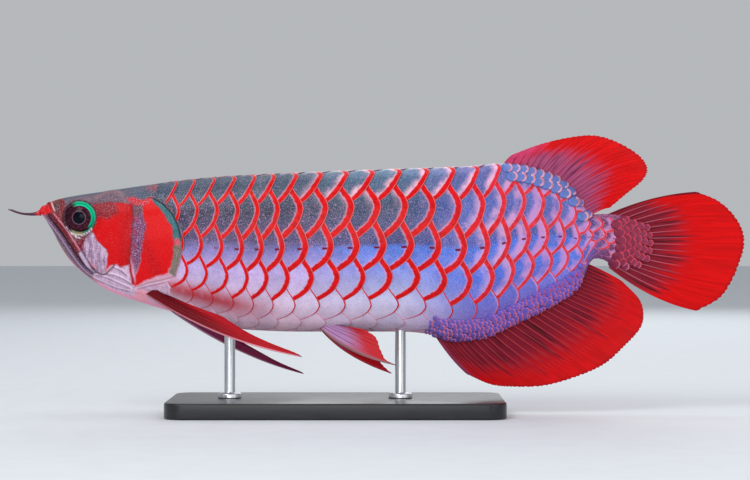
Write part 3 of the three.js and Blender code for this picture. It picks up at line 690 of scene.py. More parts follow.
@dataclass(frozen=True)
class EyeFinish:
    """Eye: navy pupil in a thin pale ring, dark mottled iris and a turquoise upper edge."""

    gloss: Gloss = Gloss(0.3, 0.0, 0.28, 0.03, 0.0)
    rings = (
        (0.0, (5, 6, 20)), (0.4, (10, 8, 22)), (0.455, (30, 18, 30)), (0.47, (118, 92, 108)),
        (0.5, (92, 60, 76)), (0.54, (36, 12, 22)), (0.86, (46, 14, 26)), (1.0, (18, 6, 10)),
    )

    def make(self) -> bpy.types.Material:
        """Makes the material from the stored share out from the pupil and the stored height."""
        material, graph, shader = self.gloss.start("eye_lens")
        reach, above = graph.value("reach"), graph.value("above")
        base = graph.ramp(reach, self.rings)
        cloud = graph.steps(graph.noise(480.0, 3.0), 0.45, 0.7)
        iris = graph.times(graph.steps(reach, 0.52, 0.6), cloud)
        colour = graph.mix(graph.times(iris, 0.55), base, linear(120, 40, 70))
        crescent = graph.times(graph.steps(reach, 0.84, 0.9), graph.steps(above, 0.0, 0.45))
        colour = graph.mix(crescent, colour, linear(10, 196, 150))
        graph.feed(shader.inputs["Base Color"], colour)
        return material


@dataclass(frozen=True)
class PlainFinish:
    """One colour with fine grain, such as steel, board or a barbel."""

    name: str
    colour: Colour
    other: Colour
    grain: float
    stretch: tuple[float, float, float]
    relief: float
    gloss: Gloss
    root: Colour | None = None

    def make(self) -> bpy.types.Material:
        """Makes the material from noise stretched along the grain."""
        material, graph, shader = self.gloss.start(self.name)
        streak = graph.noise(self.grain, 4.0, Vector(self.stretch))
        share = graph.steps(streak, 0.32, 0.68)
        base = graph.mix(share, linear(*self.colour), linear(*self.other))
        if self.root:
            base = graph.mix(graph.value("blood"), base, linear(*self.root))
        graph.feed(shader.inputs["Base Color"], base)
        rough = graph.math("ADD", graph.times(share, 0.12), self.gloss.roughness)
        graph.feed(shader.inputs["Roughness"], rough)
        graph.feed(shader.inputs["Normal"], graph.bump(streak, self.relief, 0.0002))
        return material


# Body


class BodyForm:
    """The fish's body as sections along x, each a superellipse of its own shape above and below."""

    chin_x = -254.6
    tail_x = 194.7
    back = staticmethod(curve_through([
        (-254.6, 151.2), (-252.6, 153.2), (-247.6, 157.0), (-238, 161), (-207, 166.3), (-147, 174.5),
        (-110, 177.9), (-20, 182), (70, 185.3), (93, 187.2), (109, 186.2), (119, 183.6), (130, 180),
        (139, 175.6), (147, 169), (152, 161.5), (156, 154.5), (162, 150.3), (171, 150.6), (183, 150.2),
        (194.7, 147),
    ]))
    belly = staticmethod(curve_through([
        (-254.6, 150.5), (-251.4, 149.6), (-248.8, 148.0), (-243, 138.0), (-237.3, 126.4), (-229.8, 115.4),
        (-222.3, 107.8), (-214.8, 101.7), (-200, 92), (-177.3, 83.8), (-154.8, 77), (-124.8, 68),
        (-94.8, 62.2), (-57, 60.9),
        (18, 60.9), (40, 59), (58, 54.6), (80, 56.6), (104.7, 68), (123.5, 77), (139.6, 85.8), (149, 92.5),
        (154.6, 100), (158.2, 110), (163, 115.8), (169, 115.6), (178, 110), (194.7, 106.5),
    ]))
    # The dressed tail root thins out so that it runs into the fin
    half_width = staticmethod(curve_through([
        (-254.6, 0.8), (-252.4, 3.2), (-247.6, 7.2), (-238, 11), (-222, 14.8), (-207, 17.6), (-185, 20.6),
        (-160, 22.6), (-125, 24.6), (-95, 25), (-20, 24.4), (40, 22.4), (80, 19.4), (115, 14.8), (140, 10.6),
        (158, 7.6), (168, 6.4), (180, 4.6), (190, 2.4), (194.7, 1.2),
    ]))
    widest = staticmethod(curve_through([
        (-254.6, 0.5), (-225, 0.5), (-195, 0.54), (-150, 0.6), (-60, 0.62), (60, 0.6), (130, 0.53),
        (194.7, 0.5),
    ]))
    back_shape = staticmethod(curve_through([
        (-254.6, 2.2), (-225, 2.6), (-150, 2.5), (60, 2.3), (130, 2), (194.7, 2),
    ]))
    belly_shape = staticmethod(curve_through([
        (-254.6, 2), (-225, 1.9), (-150, 1.75), (60, 1.7), (130, 1.9), (194.7, 2),
    ]))

    scaled_from = -163.0
    scaled_length = 359.0

    def along(self, x: Array) -> Array:
        """Share along the scaled part of the body."""
        return (x - self.scaled_from) / self.scaled_length

    def depth(self, x: Array, z: Array) -> Array:
        """Share down from the back to the belly."""
        return (self.back(x) - z) / (self.back(x) - self.belly(x))

    def level(self, x: Array) -> Array:
        """Height at which the section is widest: a share of its depth above the belly."""
        return self.belly(x) + self.widest(x) * (self.back(x) - self.belly(x))

    def ring(self, x: Array, angle: Array) -> tuple[Array, Array]:
        """Section point at an angle: y is the width times cos to the power 2/n, and z likewise by sin."""
        up = np.sin(angle) > 0.0
        n = np.where(up, self.back_shape(x), self.belly_shape(x))
        level = self.level(x)
        reach = np.where(up, self.back(x) - level, level - self.belly(x))
        across = np.sign(np.cos(angle)) * np.abs(np.cos(angle)) ** (2.0 / n)
        rise = np.sign(np.sin(angle)) * np.abs(np.sin(angle)) ** (2.0 / n)
        return self.half_width(x) * across, level + reach * rise

    def skin_y(self, x: Array, z: Array) -> Array:
        """Half width at a height, from (y / w) to the n plus (z / h) to the n being one."""
        level = self.level(x)
        up = z > level
        n = np.where(up, self.back_shape(x), self.belly_shape(x))
        reach = np.where(up, self.back(x) - level, level - self.belly(x))
        share = np.minimum(np.abs(z - level) / reach, 1.0)
        return self.half_width(x) * (1.0 - share**n) ** (1.0 / n)

    def on_skin(self, side: Side, x: Array, z: Array, lift: Array) -> Array:
        """Points of the skin on one side at x and z, lifted along the outward direction."""
        step = 0.5
        slope_x = (self.skin_y(x + step, z) - self.skin_y(x - step, z)) / (2.0 * step)
        slope_z = (self.skin_y(x, z + step) - self.skin_y(x, z - step)) / (2.0 * step)
        slope_z = np.clip(slope_z, -3.0, 3.0)
        size = np.sqrt(1.0 + slope_x**2 + slope_z**2)
        y = self.skin_y(x, z) + lift / size
        return np.stack([x - slope_x * lift / size, side.value * y, z - slope_z * lift / size], -1)

    def on_back(self, x: Array, y: Array, lift: Array) -> Array:
        """Points of the back near the midline, at x and y, lifted straight up."""
        n = self.back_shape(x)
        level = self.level(x)
        share = np.minimum(np.abs(y) / self.half_width(x), 1.0)
        return np.stack([x, y, level + (self.back(x) - level) * (1.0 - share**n) ** (1.0 / n) + lift], -1)


@dataclass(frozen=True)
class EyePlace:
    """Where the eyes sit, measured across the ring, and how they are turned."""

    x: float = -220.6
    z: float = 146.9
    radius: float = 10.3
    bulge: float = 5.2
    sink: float = 1.2
    down_tilt: float = 0.05
    front_tilt: float = 0.12

    def plane(self, body: BodyForm, x: Array, z: Array) -> Array:
        """Distance of the eye's own plane from the midline at x and z."""
        seat = body.skin_y(np.array(self.x), np.array(self.z)) - self.sink
        return seat + self.down_tilt * (z - self.z) + self.front_tilt * (x - self.x)


class HeadPaint:
    """Colour, flecks and striation of the head's points, laid one coat over another."""

    def __init__(self, x: Array, z: Array) -> None:
        """Starts from one plain colour, and bends the places a little for the regions' uneven edges."""
        self.x, self.z = x, z
        fine_x = np.sin(2.3 * z - 1.1 * x) * np.sin(0.9 * z)
        fine_z = np.sin(2.6 * x + 1.3 * z) * np.sin(1.1 * x)
        self.ragged_x = x + 0.3 * np.sin(0.7 * z + 0.4 * x) + 0.2 * fine_x
        self.ragged_z = z + 0.3 * np.sin(0.8 * x - 0.4 * z) + 0.2 * fine_z
        self.colour = np.tile(linear(104, 66, 74), (len(x), 1))
        self.mottle = np.full(len(x), 0.45)
        self.striation = np.zeros(len(x))

    def lay(self, mask: Array, paint: Colour, flecks: float = 0.3, lines: float = 0.0) -> None:
        """Mixes one colour in where its mask is set, with its own flecks and striation."""
        self.colour = self.colour + (np.array(linear(*paint)) - self.colour) * mask[:, None]
        self.mottle = self.mottle + (flecks - self.mottle) * mask
        self.striation = self.striation + (lines - self.striation) * mask

    def region(self, outline: Outline, soft: float = 0.7) -> Array:
        """Mask of a region with a soft, uneven edge."""
        return smooth(-soft, soft, depth_in(outline, self.ragged_x, self.ragged_z))

    def line(self, path: Array, width: float, soft: float = 0.35) -> Array:
        """Mask of a line of some width."""
        away = np.abs(along_line(path, self.x, self.z)[0])
        return 1.0 - smooth(width / 2 - soft, width / 2 + soft, away)


class HeadMarks:
    """Lines and regions of the head in x and z, and the relief and the colours that they give."""

    gape = rounded([(-248.2, 158.4), (-247.2, 155.4), (-245.4, 149.6), (-243.1, 146.2), (-234.9, 136.2),
                    (-227.2, 124.7), (-220.6, 114.8), (-214, 108.1), (-208.8, 104.8)])
    mouth_plate = rounded([(-219.6, 120.6), (-215.4, 113.4), (-210.7, 107)])
    nostril = rounded([(-242.3, 157.5), (-239.8, 152.2)], 6)
    cheek_edge = rounded([(-212.8, 109.2), (-206.2, 104.8), (-201.9, 104.9), (-197.6, 108.2),
                          (-194.5, 111.5)])
    temple = rounded([(-209.1, 162), (-202, 165.1), (-195, 166.3), (-190.8, 164.8), (-187.3, 160.2),
                      (-185.5, 158)])
    under_eye = rounded([(-230.8, 139.6), (-226, 134.4), (-220.4, 131.6)])
    behind_eye = rounded([(-218.9, 133.4), (-214.6, 135.8), (-211.4, 139.4)])
    cheek_front = rounded([(-211.6, 138), (-206.2, 129.4), (-200.2, 123.2), (-198.4, 118), (-200.6, 108.4)])
    throat_streaks = tuple(
        rounded(path) for path in (
            [(-213.4, 102.6), (-205, 98.6), (-194, 94), (-184, 91.6)],
            [(-209, 104), (-200, 101.4), (-190.5, 97.2), (-183.6, 94.4)],
            [(-205, 104.6), (-196, 104.2), (-188, 101), (-182.6, 97.4)],
            [(-196, 110), (-190, 107.6), (-185.6, 103.6)],
            [(-178, 93.6), (-168, 96.4), (-158, 98.6), (-150, 101)],
        )
    )
    plate_edge = rounded([(-181.8, 158), (-180.3, 149), (-181.3, 131.8), (-182.9, 113.8), (-181, 97.2)])

    cover: Outline = [
        (-166.8, 162), (-157.8, 157), (-150.8, 149.8), (-146.3, 140.8), (-144.3, 131.8), (-144.7, 122.8),
        (-146.2, 113.8), (-148.8, 103.6), (-158.5, 101), (-169.8, 98.6), (-179.5, 94.6), (-182.2, 98),
        (-182.8, 113.8), (-181.4, 131.8), (-180.3, 149), (-175.8, 158.6),
    ]
    red_cheek: Outline = [
        (-210.3, 156.5), (-198.3, 158), (-186.3, 157.6), (-181, 155.8), (-180.3, 149), (-181.3, 131.8),
        (-182.5, 113.8), (-179.5, 97.2), (-181.8, 96.5), (-183.7, 112.2), (-187, 111.2), (-190, 109.4),
        (-192.4, 112.6), (-198.3, 110.8), (-201.6, 106.4), (-199.4, 118.2), (-200.2, 123.1), (-206.2, 128.8),
        (-211.4, 137), (-210.3, 146.8),
    ]
    dark_cheek: Outline = [(-210.3, 158.4), (-193, 158), (-191.5, 149.8), (-198.3, 146), (-209.5, 146.8)]
    red_cover: Outline = [
        (-166.8, 160.2), (-157.8, 149.8), (-151.4, 140.8), (-149.5, 128.8), (-150.8, 116), (-154, 106.2),
        (-166.8, 102.4), (-175, 98.6), (-179.9, 95.8), (-178.8, 104), (-175, 112.6), (-172.4, 129.5),
        (-170, 140.8), (-172.8, 149.8), (-172.8, 155.2),
    ]
    red_temple: Outline = [
        (-185.5, 161.5), (-180, 162), (-173, 159.6), (-167, 162.6), (-164, 160.4), (-169.5, 156.6),
        (-175, 155.4), (-182.5, 157),
    ]
    lilac_stripe: Outline = [
        (-181.3, 138.5), (-179.5, 146.8), (-173.5, 150.5), (-169.8, 140.8), (-172.6, 129.5), (-175, 113),
        (-178.8, 104.8), (-180.7, 113.8),
    ]
    teal_flap: Outline = [
        (-166.4, 162), (-157.8, 157), (-150.8, 149.8), (-146.3, 140.8), (-144.3, 131.8), (-148.8, 130.2),
        (-151, 140.8), (-157.4, 150.1), (-166, 159.9),
    ]
    olive_flap: Outline = [
        (-148.8, 130.2), (-144.3, 131.8), (-144.7, 122.8), (-146.2, 113.8), (-148.8, 103.6), (-153.3, 105.5),
        (-150.3, 116),
    ]
    lilac_cheek: Outline = [
        (-216.3, 131), (-210.3, 135.5), (-206.2, 128.8), (-200.2, 123.1), (-198.6, 118.2), (-201.3, 107.8),
        (-204.3, 105.1), (-208.8, 107), (-214.8, 116.8), (-219.3, 125),
    ]
    throat: Outline = [
        (-213.3, 107.8), (-206.5, 104), (-201.3, 104.4), (-195.3, 110.8), (-193.8, 112.2), (-184.8, 113),
        (-183.7, 107.8), (-181.8, 96.5), (-179.5, 94), (-153, 98), (-150, 86), (-175.8, 84.8),
        (-188.5, 88.5), (-201.3, 93.8), (-210.3, 99.8),
    ]
    snout_side: Outline = [
        (-249, 159), (-234.3, 162), (-230.5, 152.8), (-232.8, 143.8), (-237.3, 145.2), (-243, 150.4),
    ]
    lip_front: Outline = [(-249, 159.4), (-242.4, 160), (-241.8, 154.6), (-241.6, 149.2), (-246, 149.4)]
    chin: Outline = [
        (-256, 154), (-250, 157), (-246.5, 157.5), (-243, 153.5), (-241.8, 150.6), (-245.5, 150.1),
        (-249.3, 148.6), (-255, 149),
    ]
    fin_root: Outline = [(-180, 93), (-172, 93.5), (-166, 88), (-172, 84), (-182, 86)]
    under_eye_red: Outline = [(-221, 132.4), (-216.3, 132), (-217.6, 126), (-220, 119.4), (-224, 125.4)]

    def __init__(self, body: BodyForm, eye: EyePlace) -> None:
        """Keeps the body's curves and the eye's place."""
        self.body = body
        self.eye = eye

    def around_eye(self, x: Array, z: Array) -> tuple[Array, Array]:
        """Distance from the eye's middle, and the direction as an angle from the rear, upwards."""
        return np.hypot(x - self.eye.x, z - self.eye.z), np.arctan2(z - self.eye.z, x - self.eye.x)

    def relief(self, x: Array, z: Array) -> Array:
        """Height over the plain body in millimetres: plates raised, lips as humps, gaps as grooves.

        Args:
            x: Places along the body.
            z: Heights.

        Returns:
            The lift along the surface's own direction.
        """
        gape, run = along_line(self.gape, x, z)
        on_gape = 1.0 - smooth(0.96, 1.0, run)
        lift = on_gape * (0.95 * hump(gape, 2.4, 1.7) + 0.8 * hump(gape, -2.9, 1.9))
        lift -= on_gape * (1.5 * hump(gape, 0.0, 0.62) + 0.5 * hump(gape, 4.7, 0.5))
        plate = along_line(self.mouth_plate, x, z)[0]
        lift += 0.7 * (1.0 - smooth(1.5, 2.2, np.abs(plate)))
        cover = depth_in(self.cover, x, z)
        free_edge = smooth(-183.0, -174.0, x)
        lift += 1.25 * smooth(-0.35, 0.35, cover) * free_edge
        flap = np.maximum(depth_in(self.teal_flap, x, z), depth_in(self.olive_flap, x, z))
        lift -= 0.5 * smooth(0.0, 0.9, flap)
        lift -= 0.8 * hump(along_line(self.plate_edge, x, z)[0], 0.0, 0.75) * smooth(94.0, 99.0, z)
        lift += 0.45 * smooth(-0.6, 0.8, depth_in(self.red_cheek, x, z))
        lift -= 0.45 * hump(along_line(self.cheek_front, x, z)[0], 0.0, 0.7)
        lift -= 0.7 * hump(along_line(self.cheek_edge, x, z)[0], 0.0, 0.7)
        lift += 0.75 * hump(along_line(self.temple, x, z)[0], 0.0, 1.4)
        for ridge in (self.under_eye, self.behind_eye):
            lift += 0.35 * hump(along_line(ridge, x, z)[0], 0.0, 0.8)
        throat = smooth(-1.0, 3.0, depth_in(self.throat, x, z))
        lift += 0.28 * throat * np.sin(1.05 * (z + 0.34 * x))
        nostril = along_line(self.nostril, x, z)[0]
        lift += 1.15 * hump(nostril, 0.0, 1.0) - 1.5 * hump(np.hypot(x + 239.6, z - 151.9), 0.0, 0.62)
        lift -= 0.9 * hump(np.hypot(x + 236.9, z - 155.0), 0.0, 0.8)
        return lift

    def orbit(self, x: Array, y: Array, z: Array) -> Array:
        """Bends the skin to the eye's plane, with a socket inside the ring and a soft rim round it.

        Args:
            x: Places along the body.
            y: Distances from the midline, both sides signed.
            z: Heights.

        Returns:
            The new y of each point.
        """
        away = self.around_eye(x, z)[0]
        rim = -3.4 * (1.0 - smooth(8.9, 10.5, away)) + 1.1 * hump(away, 11.9, 1.5)
        flat = self.eye.plane(self.body, x, z) + rim
        share = (1.0 - smooth(11.5, 18.0, away)) * (np.abs(y) > 2.0)
        return np.sign(y) * (np.abs(y) * (1.0 - share) + flat * share)

    def paint(self, x: Array, z: Array) -> HeadPaint:
        """Lays the head's colours one over another.

        Args:
            x: Places along the body.
            z: Heights.

        Returns:
            The paint, which keeps the colour, the flecks and the striation of each point.
        """
        coat = HeadPaint(x, z)
        self.paint_ground(coat, x, z)
        self.paint_regions(coat, x, z)
        self.paint_edges(coat, x, z)
        self.paint_mouth(coat, x, z)
        self.paint_eye(coat, x, z)
        coat.lay(coat.region(self.fin_root, 2.0), (226, 150, 166), 0.3)
        return coat

    def paint_ground(self, coat: HeadPaint, x: Array, z: Array) -> None:
        """Lays the dark crown and nape, and the pale throat."""
        below_back = self.body.back(x) - z
        over_belly = z - self.body.belly(x)
        nape = smooth(-196.0, -168.0, x)
        low = smooth(0.55, 0.75, below_back / (below_back + over_belly))
        coat.lay(low * smooth(-214.0, -200.0, x), (214, 158, 182), 0.35)
        coat.lay(1.0 - smooth(5.0, 15.0, below_back), (104, 88, 100), 0.3)
        coat.lay((1.0 - smooth(9.0, 20.0, below_back)) * nape, (70, 94, 114), 0.25)
        coat.lay((1.0 - smooth(0.5, 3.0, below_back)), (70, 84, 104), 0.2)
        coat.lay((1.0 - smooth(9.0, 20.0, below_back)) * smooth(-180.0, -165.0, x) * 0.8, (62, 78, 88), 0.55)
        coat.lay(hump(np.hypot((x + 163.8) / 7.0, (z - 169.4) / 2.6), 0.0, 1.0) * 0.55, (186, 70, 80), 0.6)

    def paint_regions(self, coat: HeadPaint, x: Array, z: Array) -> None:
        """Lays the plates and flaps, each in its own colour."""
        over_belly = z - self.body.belly(x)
        coat.lay(coat.region(self.throat, 1.6), (192, 158, 188), 0.7, 0.6)
        coat.lay(band(over_belly, -1.0, 2.6, 1.2) * smooth(-232.0, -222.0, x), (240, 150, 180), 0.2)
        for streak in self.throat_streaks:
            coat.lay(coat.line(streak, 0.9, 0.5) * 0.75, (120, 78, 124), 0.2)
            coat.lay(hump(along_line(streak, x, z)[0], 1.2, 0.5) * 0.7, (246, 226, 240), 0.1)
        coat.lay(coat.region(self.snout_side), (118, 34, 34), 0.4)
        coat.lay(coat.region(self.lip_front, 0.5), (176, 18, 24), 0.2)
        hollow = hump(np.hypot((x + 238.6) / 1.5, (z - 155.4) / 3.2), 0.0, 1.0)
        coat.lay(hollow**0.6 * 0.9, (44, 50, 34), 0.4)
        coat.lay(coat.region(self.lilac_cheek, 1.2), (150, 118, 152), 0.85, 0.8)
        coat.lay(coat.region(self.under_eye_red), (112, 14, 28), 0.4)
        coat.lay(coat.region(self.red_cheek), (202, 2, 5), 0.05)
        coat.lay(coat.region(self.red_cheek) * hump(x, -184.0, 6.0) * 0.4, (150, 6, 14), 0.1)
        coat.lay(coat.region(self.dark_cheek, 2.4) * 0.75, (96, 26, 36), 0.3)
        coat.lay(coat.region(self.lilac_stripe, 1.3), (114, 64, 106), 0.7)
        blotches = hump(np.sin(0.62 * x + 0.25 * z) * np.sin(0.31 * z), 0.9, 0.45)
        coat.lay(blotches * coat.region(self.lilac_stripe) * 0.6, (170, 20, 44), 0.3)
        coat.lay(coat.region(self.red_cover), (210, 3, 6), 0.05)
        coat.lay(coat.region(self.red_cover, 1.5) * hump(x + 0.4 * z, -120.0, 5.0) * 0.4, (160, 6, 16), 0.1)
        coat.lay(coat.region(self.red_temple, 1.1) * 0.9, (206, 24, 30), 0.5)
        coat.lay(coat.region(self.teal_flap, 0.5), (42, 106, 112), 0.25)
        coat.lay(coat.region(self.olive_flap, 0.5), (118, 110, 96), 0.35)
        coat.lay(hump(np.hypot((x + 147.0) / 2.2, (z - 128.8) / 2.2), 0.0, 1.0), (226, 70, 100), 0.3)

    def paint_edges(self, coat: HeadPaint, x: Array, z: Array) -> None:
        """Lays the dark lines along the plates' edges, and a painted shadow under the gill cover's free
        edge.
        """
        cover = depth_in(self.cover, x, z)
        # Painted shadow: a near-black line under the raised free edge of the gill cover
        cover_edge_shadow = band(cover, -0.3, 0.8, 0.3) * smooth(-172.0, -164.0, x) * smooth(126.0, 134.0, z)
        coat.lay(cover_edge_shadow, (16, 22, 30), 0.1)
        coat.lay(coat.line(self.plate_edge, 1.2) * 0.5 * smooth(96.0, 100.0, z), (70, 16, 40), 0.2)
        coat.lay(coat.line(self.cheek_edge, 1.3) * 0.85, (60, 24, 44), 0.2)
        coat.lay(coat.line(self.temple, 2.4, 1.0) * 0.45, (150, 112, 112), 0.3)

    def paint_mouth(self, coat: HeadPaint, x: Array, z: Array) -> None:
        """Lays the lips, the gape with a painted shadow in its slit, the chin and the nostril."""
        gape, run = along_line(self.gape, x, z)
        near = 1.0 - smooth(0.95, 1.0, run)
        jaw = (1.0 - smooth(-5.6, -4.2, gape)) * (1.0 - smooth(-214.0, -206.0, x)) * (x < -206.0)
        coat.lay(jaw, (104, 98, 88), 0.55)
        coat.lay(band(gape, 0.3, 3.9, 0.4) * near, (98, 6, 22), 0.2)
        coat.lay(band(gape, 4.1, 4.9, 0.4) * near * smooth(0.1, 0.2, run) * 0.85, (214, 124, 142), 0.2)
        coat.lay(band(gape, -4.9, -0.5, 0.5) * near, (98, 66, 98), 0.4)
        coat.lay(hump(gape, -2.3, 0.5) * near * 0.7, (172, 152, 172), 0.2)
        # Painted shadow: a near-black line in the slit of the closed mouth
        coat.lay(hump(gape, 0.0, 0.75) * near, (12, 4, 8), 0.0)
        coat.lay(coat.line(self.mouth_plate, 3.6, 0.6), (60, 24, 50), 0.2)
        coat.lay(coat.line(self.mouth_plate, 2.2, 0.6), (164, 148, 178), 0.4, 0.4)
        over_belly = z - self.body.belly(x)
        edge = (1.0 - smooth(1.4, 2.6, over_belly)) * (1.0 - smooth(-222.0, -208.0, x))
        coat.lay(edge * 0.8, (206, 72, 116), 0.2)
        coat.lay((1.0 - smooth(0.8, 1.6, over_belly)) * (1.0 - smooth(-244.0, -236.0, x)), (30, 20, 60), 0.1)
        coat.lay(coat.region(self.chin, 0.5), (208, 12, 18), 0.2)
        coat.lay(coat.line(self.nostril, 1.0) * 0.85, (232, 192, 198), 0.1)

    def paint_eye(self, coat: HeadPaint, x: Array, z: Array) -> None:
        """Lays the ring round the eye, and the pale lines below it: silvery bone, with a painted wet
        highlight along the ridges.
        """
        away, angle = self.around_eye(x, z)
        degrees = np.degrees(angle)
        coat.lay(1.0 - smooth(12.4, 14.0, away), (50, 14, 26), 0.2)
        crescent = band(degrees, -78.0, 112.0, 14.0) * (0.4 + 0.6 * smooth(-30.0, 20.0, degrees))
        coat.lay(band(away, 10.0, 12.0, 0.6) * crescent, (6, 186, 140), 0.15)
        coat.lay(band(away, 10.4, 12.0, 0.4) * band(degrees, -122.0, -78.0, 8.0), (122, 130, 88), 0.3)
        coat.lay(hump(away, 12.7, 0.45) * band(degrees, -120.0, -80.0, 8.0), (226, 214, 180), 0.2)
        # Pale lines on the ridges under and behind the eye: silvery bone, partly a painted wet highlight
        for ridge in (self.under_eye, self.behind_eye):
            breaks = 0.55 + 0.45 * np.sin(2.7 * x + 1.1 * z)
            away_line = np.abs(along_line(ridge, coat.ragged_x, coat.ragged_z)[0])
            coat.lay((1.0 - smooth(0.2, 0.9, away_line)) * breaks, (226, 214, 230), 0.1)


@dataclass
class Skin:
    """One closed skin from the chin to the root of the tail fin."""

    body: BodyForm
    marks: HeadMarks
    around: int = 320
    head_step: float = 0.64
    trunk_step: float = 3.3
    head_end: float = -140.0
    under_scales: float = -0.7

    def build(self) -> bpy.types.Object:
        """Lofts the body's sections, evenly spaced round each ring, and raises the head's relief.

        Returns:
            The skin, with its colour, flecks and striation stored on its points.
        """
        body = self.body
        nose = body.chin_x + np.array([0.04, 0.35, 0.8, 1.4])
        stations = np.concatenate([
            nose, np.arange(body.chin_x + 2.0, self.head_end, self.head_step),
            np.arange(self.head_end, body.tail_x - 1.0, self.trunk_step), [body.tail_x],
        ])
        fine = np.linspace(0.0, 2.0 * np.pi, 961)
        y, z = body.ring(stations[:, None], fine[None, :])
        lengths = np.hypot(np.diff(y, axis=1), np.diff(z, axis=1))
        run = np.concatenate([np.zeros((len(stations), 1)), np.cumsum(lengths, axis=1)], axis=1)
        even = np.arange(self.around) / self.around
        angles = np.stack([np.interp(even * ring[-1], ring, fine) for ring in run])
        x = np.repeat(stations[:, None], self.around, axis=1)
        y, z = body.ring(x, angles)
        points = np.stack([x, y, z], -1)
        along = np.gradient(points, axis=0)
        across = np.roll(points, -1, axis=1) - np.roll(points, 1, axis=1)
        normal = np.cross(across, along)
        normal /= np.maximum(np.linalg.norm(normal, axis=-1, keepdims=True), 1e-9)
        outward = np.sign((normal[..., 1] * y + normal[..., 2] * (z - body.level(x))).sum(1))
        normal *= outward[:, None, None]
        flat_x, flat_z = x.ravel(), z.ravel()
        on_head = flat_x < self.head_end
        lift = np.zeros(flat_x.shape)
        lift[on_head] = self.marks.relief(flat_x[on_head], flat_z[on_head])
        lift = lift.reshape(x.shape) * smooth(0.6, 3.4, np.abs(y))
        lift += self.under_scales * smooth(-142.0, -128.0, x)
        points = points + normal * lift[..., None]
        points[..., 1] = self.marks.orbit(points[..., 0], points[..., 1], points[..., 2])
        colour, mottle, striation = self.paint(flat_x, flat_z, on_head)
        ends = np.array([[body.chin_x, 0.0, 150.9], [body.tail_x + 0.3, 0.0, 126.7]])
        faces = tube_faces(len(stations), self.around)
        values = {
            "tint": np.vstack([colour, colour[:1], colour[-1:]]),
            "mottle": np.append(mottle, [0.2, 0.2]), "striation": np.append(striation, [0.0, 0.0]),
        }
        return new_piece("skin", np.vstack([points.reshape(-1, 3), ends]), faces, values)

    def paint(self, x: Array, z: Array, on_head: Array) -> tuple[Array, Array, Array]:
        """Colours of the head, and of the trunk that shows between the scales.

        Args:
            x: Places along the body.
            z: Heights.
            on_head: Which points belong to the head.

        Returns:
            The colour, the flecks and the striation of each point.
        """
        depth = self.body.depth(x, z)
        dark, pale = np.array(linear(66, 84, 98)), np.array(linear(232, 180, 200))
        colour = dark + (pale - dark) * smooth(0.4, 0.8, depth)[:, None]
        rear = smooth(60.0, 140.0, x)[:, None]
        colour = colour + (np.array(linear(150, 70, 120)) - colour) * rear * 0.8
        mottle = np.full(len(x), 0.6)
        striation = np.zeros(len(x))
        head_x, head_z = x[on_head], z[on_head]
        coat = self.marks.paint(head_x, head_z)
        mottle[on_head], striation[on_head] = coat.mottle, coat.striation
        off_cover = 1.0 - smooth(-0.4, 0.4, depth_in(self.marks.cover, head_x, head_z))
        share = (smooth(-162.0, self.head_end, head_x) * off_cover)[:, None]
        colour[on_head] = coat.colour * (1.0 - share) + colour[on_head] * share
        return colour, mottle, striation


# Scales


@dataclass(frozen=True)
class Plate:
    """How one scale is meshed: rings from its crown to its rim, the rim's wall and its underside."""

    sides: int = 26
    rings: tuple[float, ...] = (0.42, 0.74, 0.93, 1.0)

    def grid(self, crown: Array, outline: Array) -> tuple[Array, Array, Array, list[Array]]:
        """Polar grid of one plate in its own two coordinates.

        Args:
            crown: The crown's place.
            outline: The rim's places, one row for each side.

        Returns:
            The points, their share out to the rim, a mark for the underside, and the faces.
        """
        reach = outline - crown
        shares = [*self.rings, 0.985, 0.5]
        points = [crown[None, :]] + [crown + reach * share for share in shares] + [crown[None, :]]
        n, top = self.sides, len(self.rings)
        out = np.concatenate([[0.0], np.repeat(shares, n), [0.0]])
        under = np.concatenate([np.zeros(1 + top * n), np.ones(2 * n + 1)])
        last = 1 + (top + 2) * n
        walls = grid_faces(top + 2, n, wrap=True) + 1
        return np.vstack(points), out, under, [walls, fan_faces(0, 1, n), fan_faces(last, last - n, n)]

    def repeat(self, faces: list[Array], size: int, count: int) -> list[Array]:
        """The faces of one plate, repeated for many that follow each other."""
        shift = (np.arange(count) * size)[:, None, None]
        return [(block[None] + shift).reshape(-1, block.shape[1]) for block in faces]


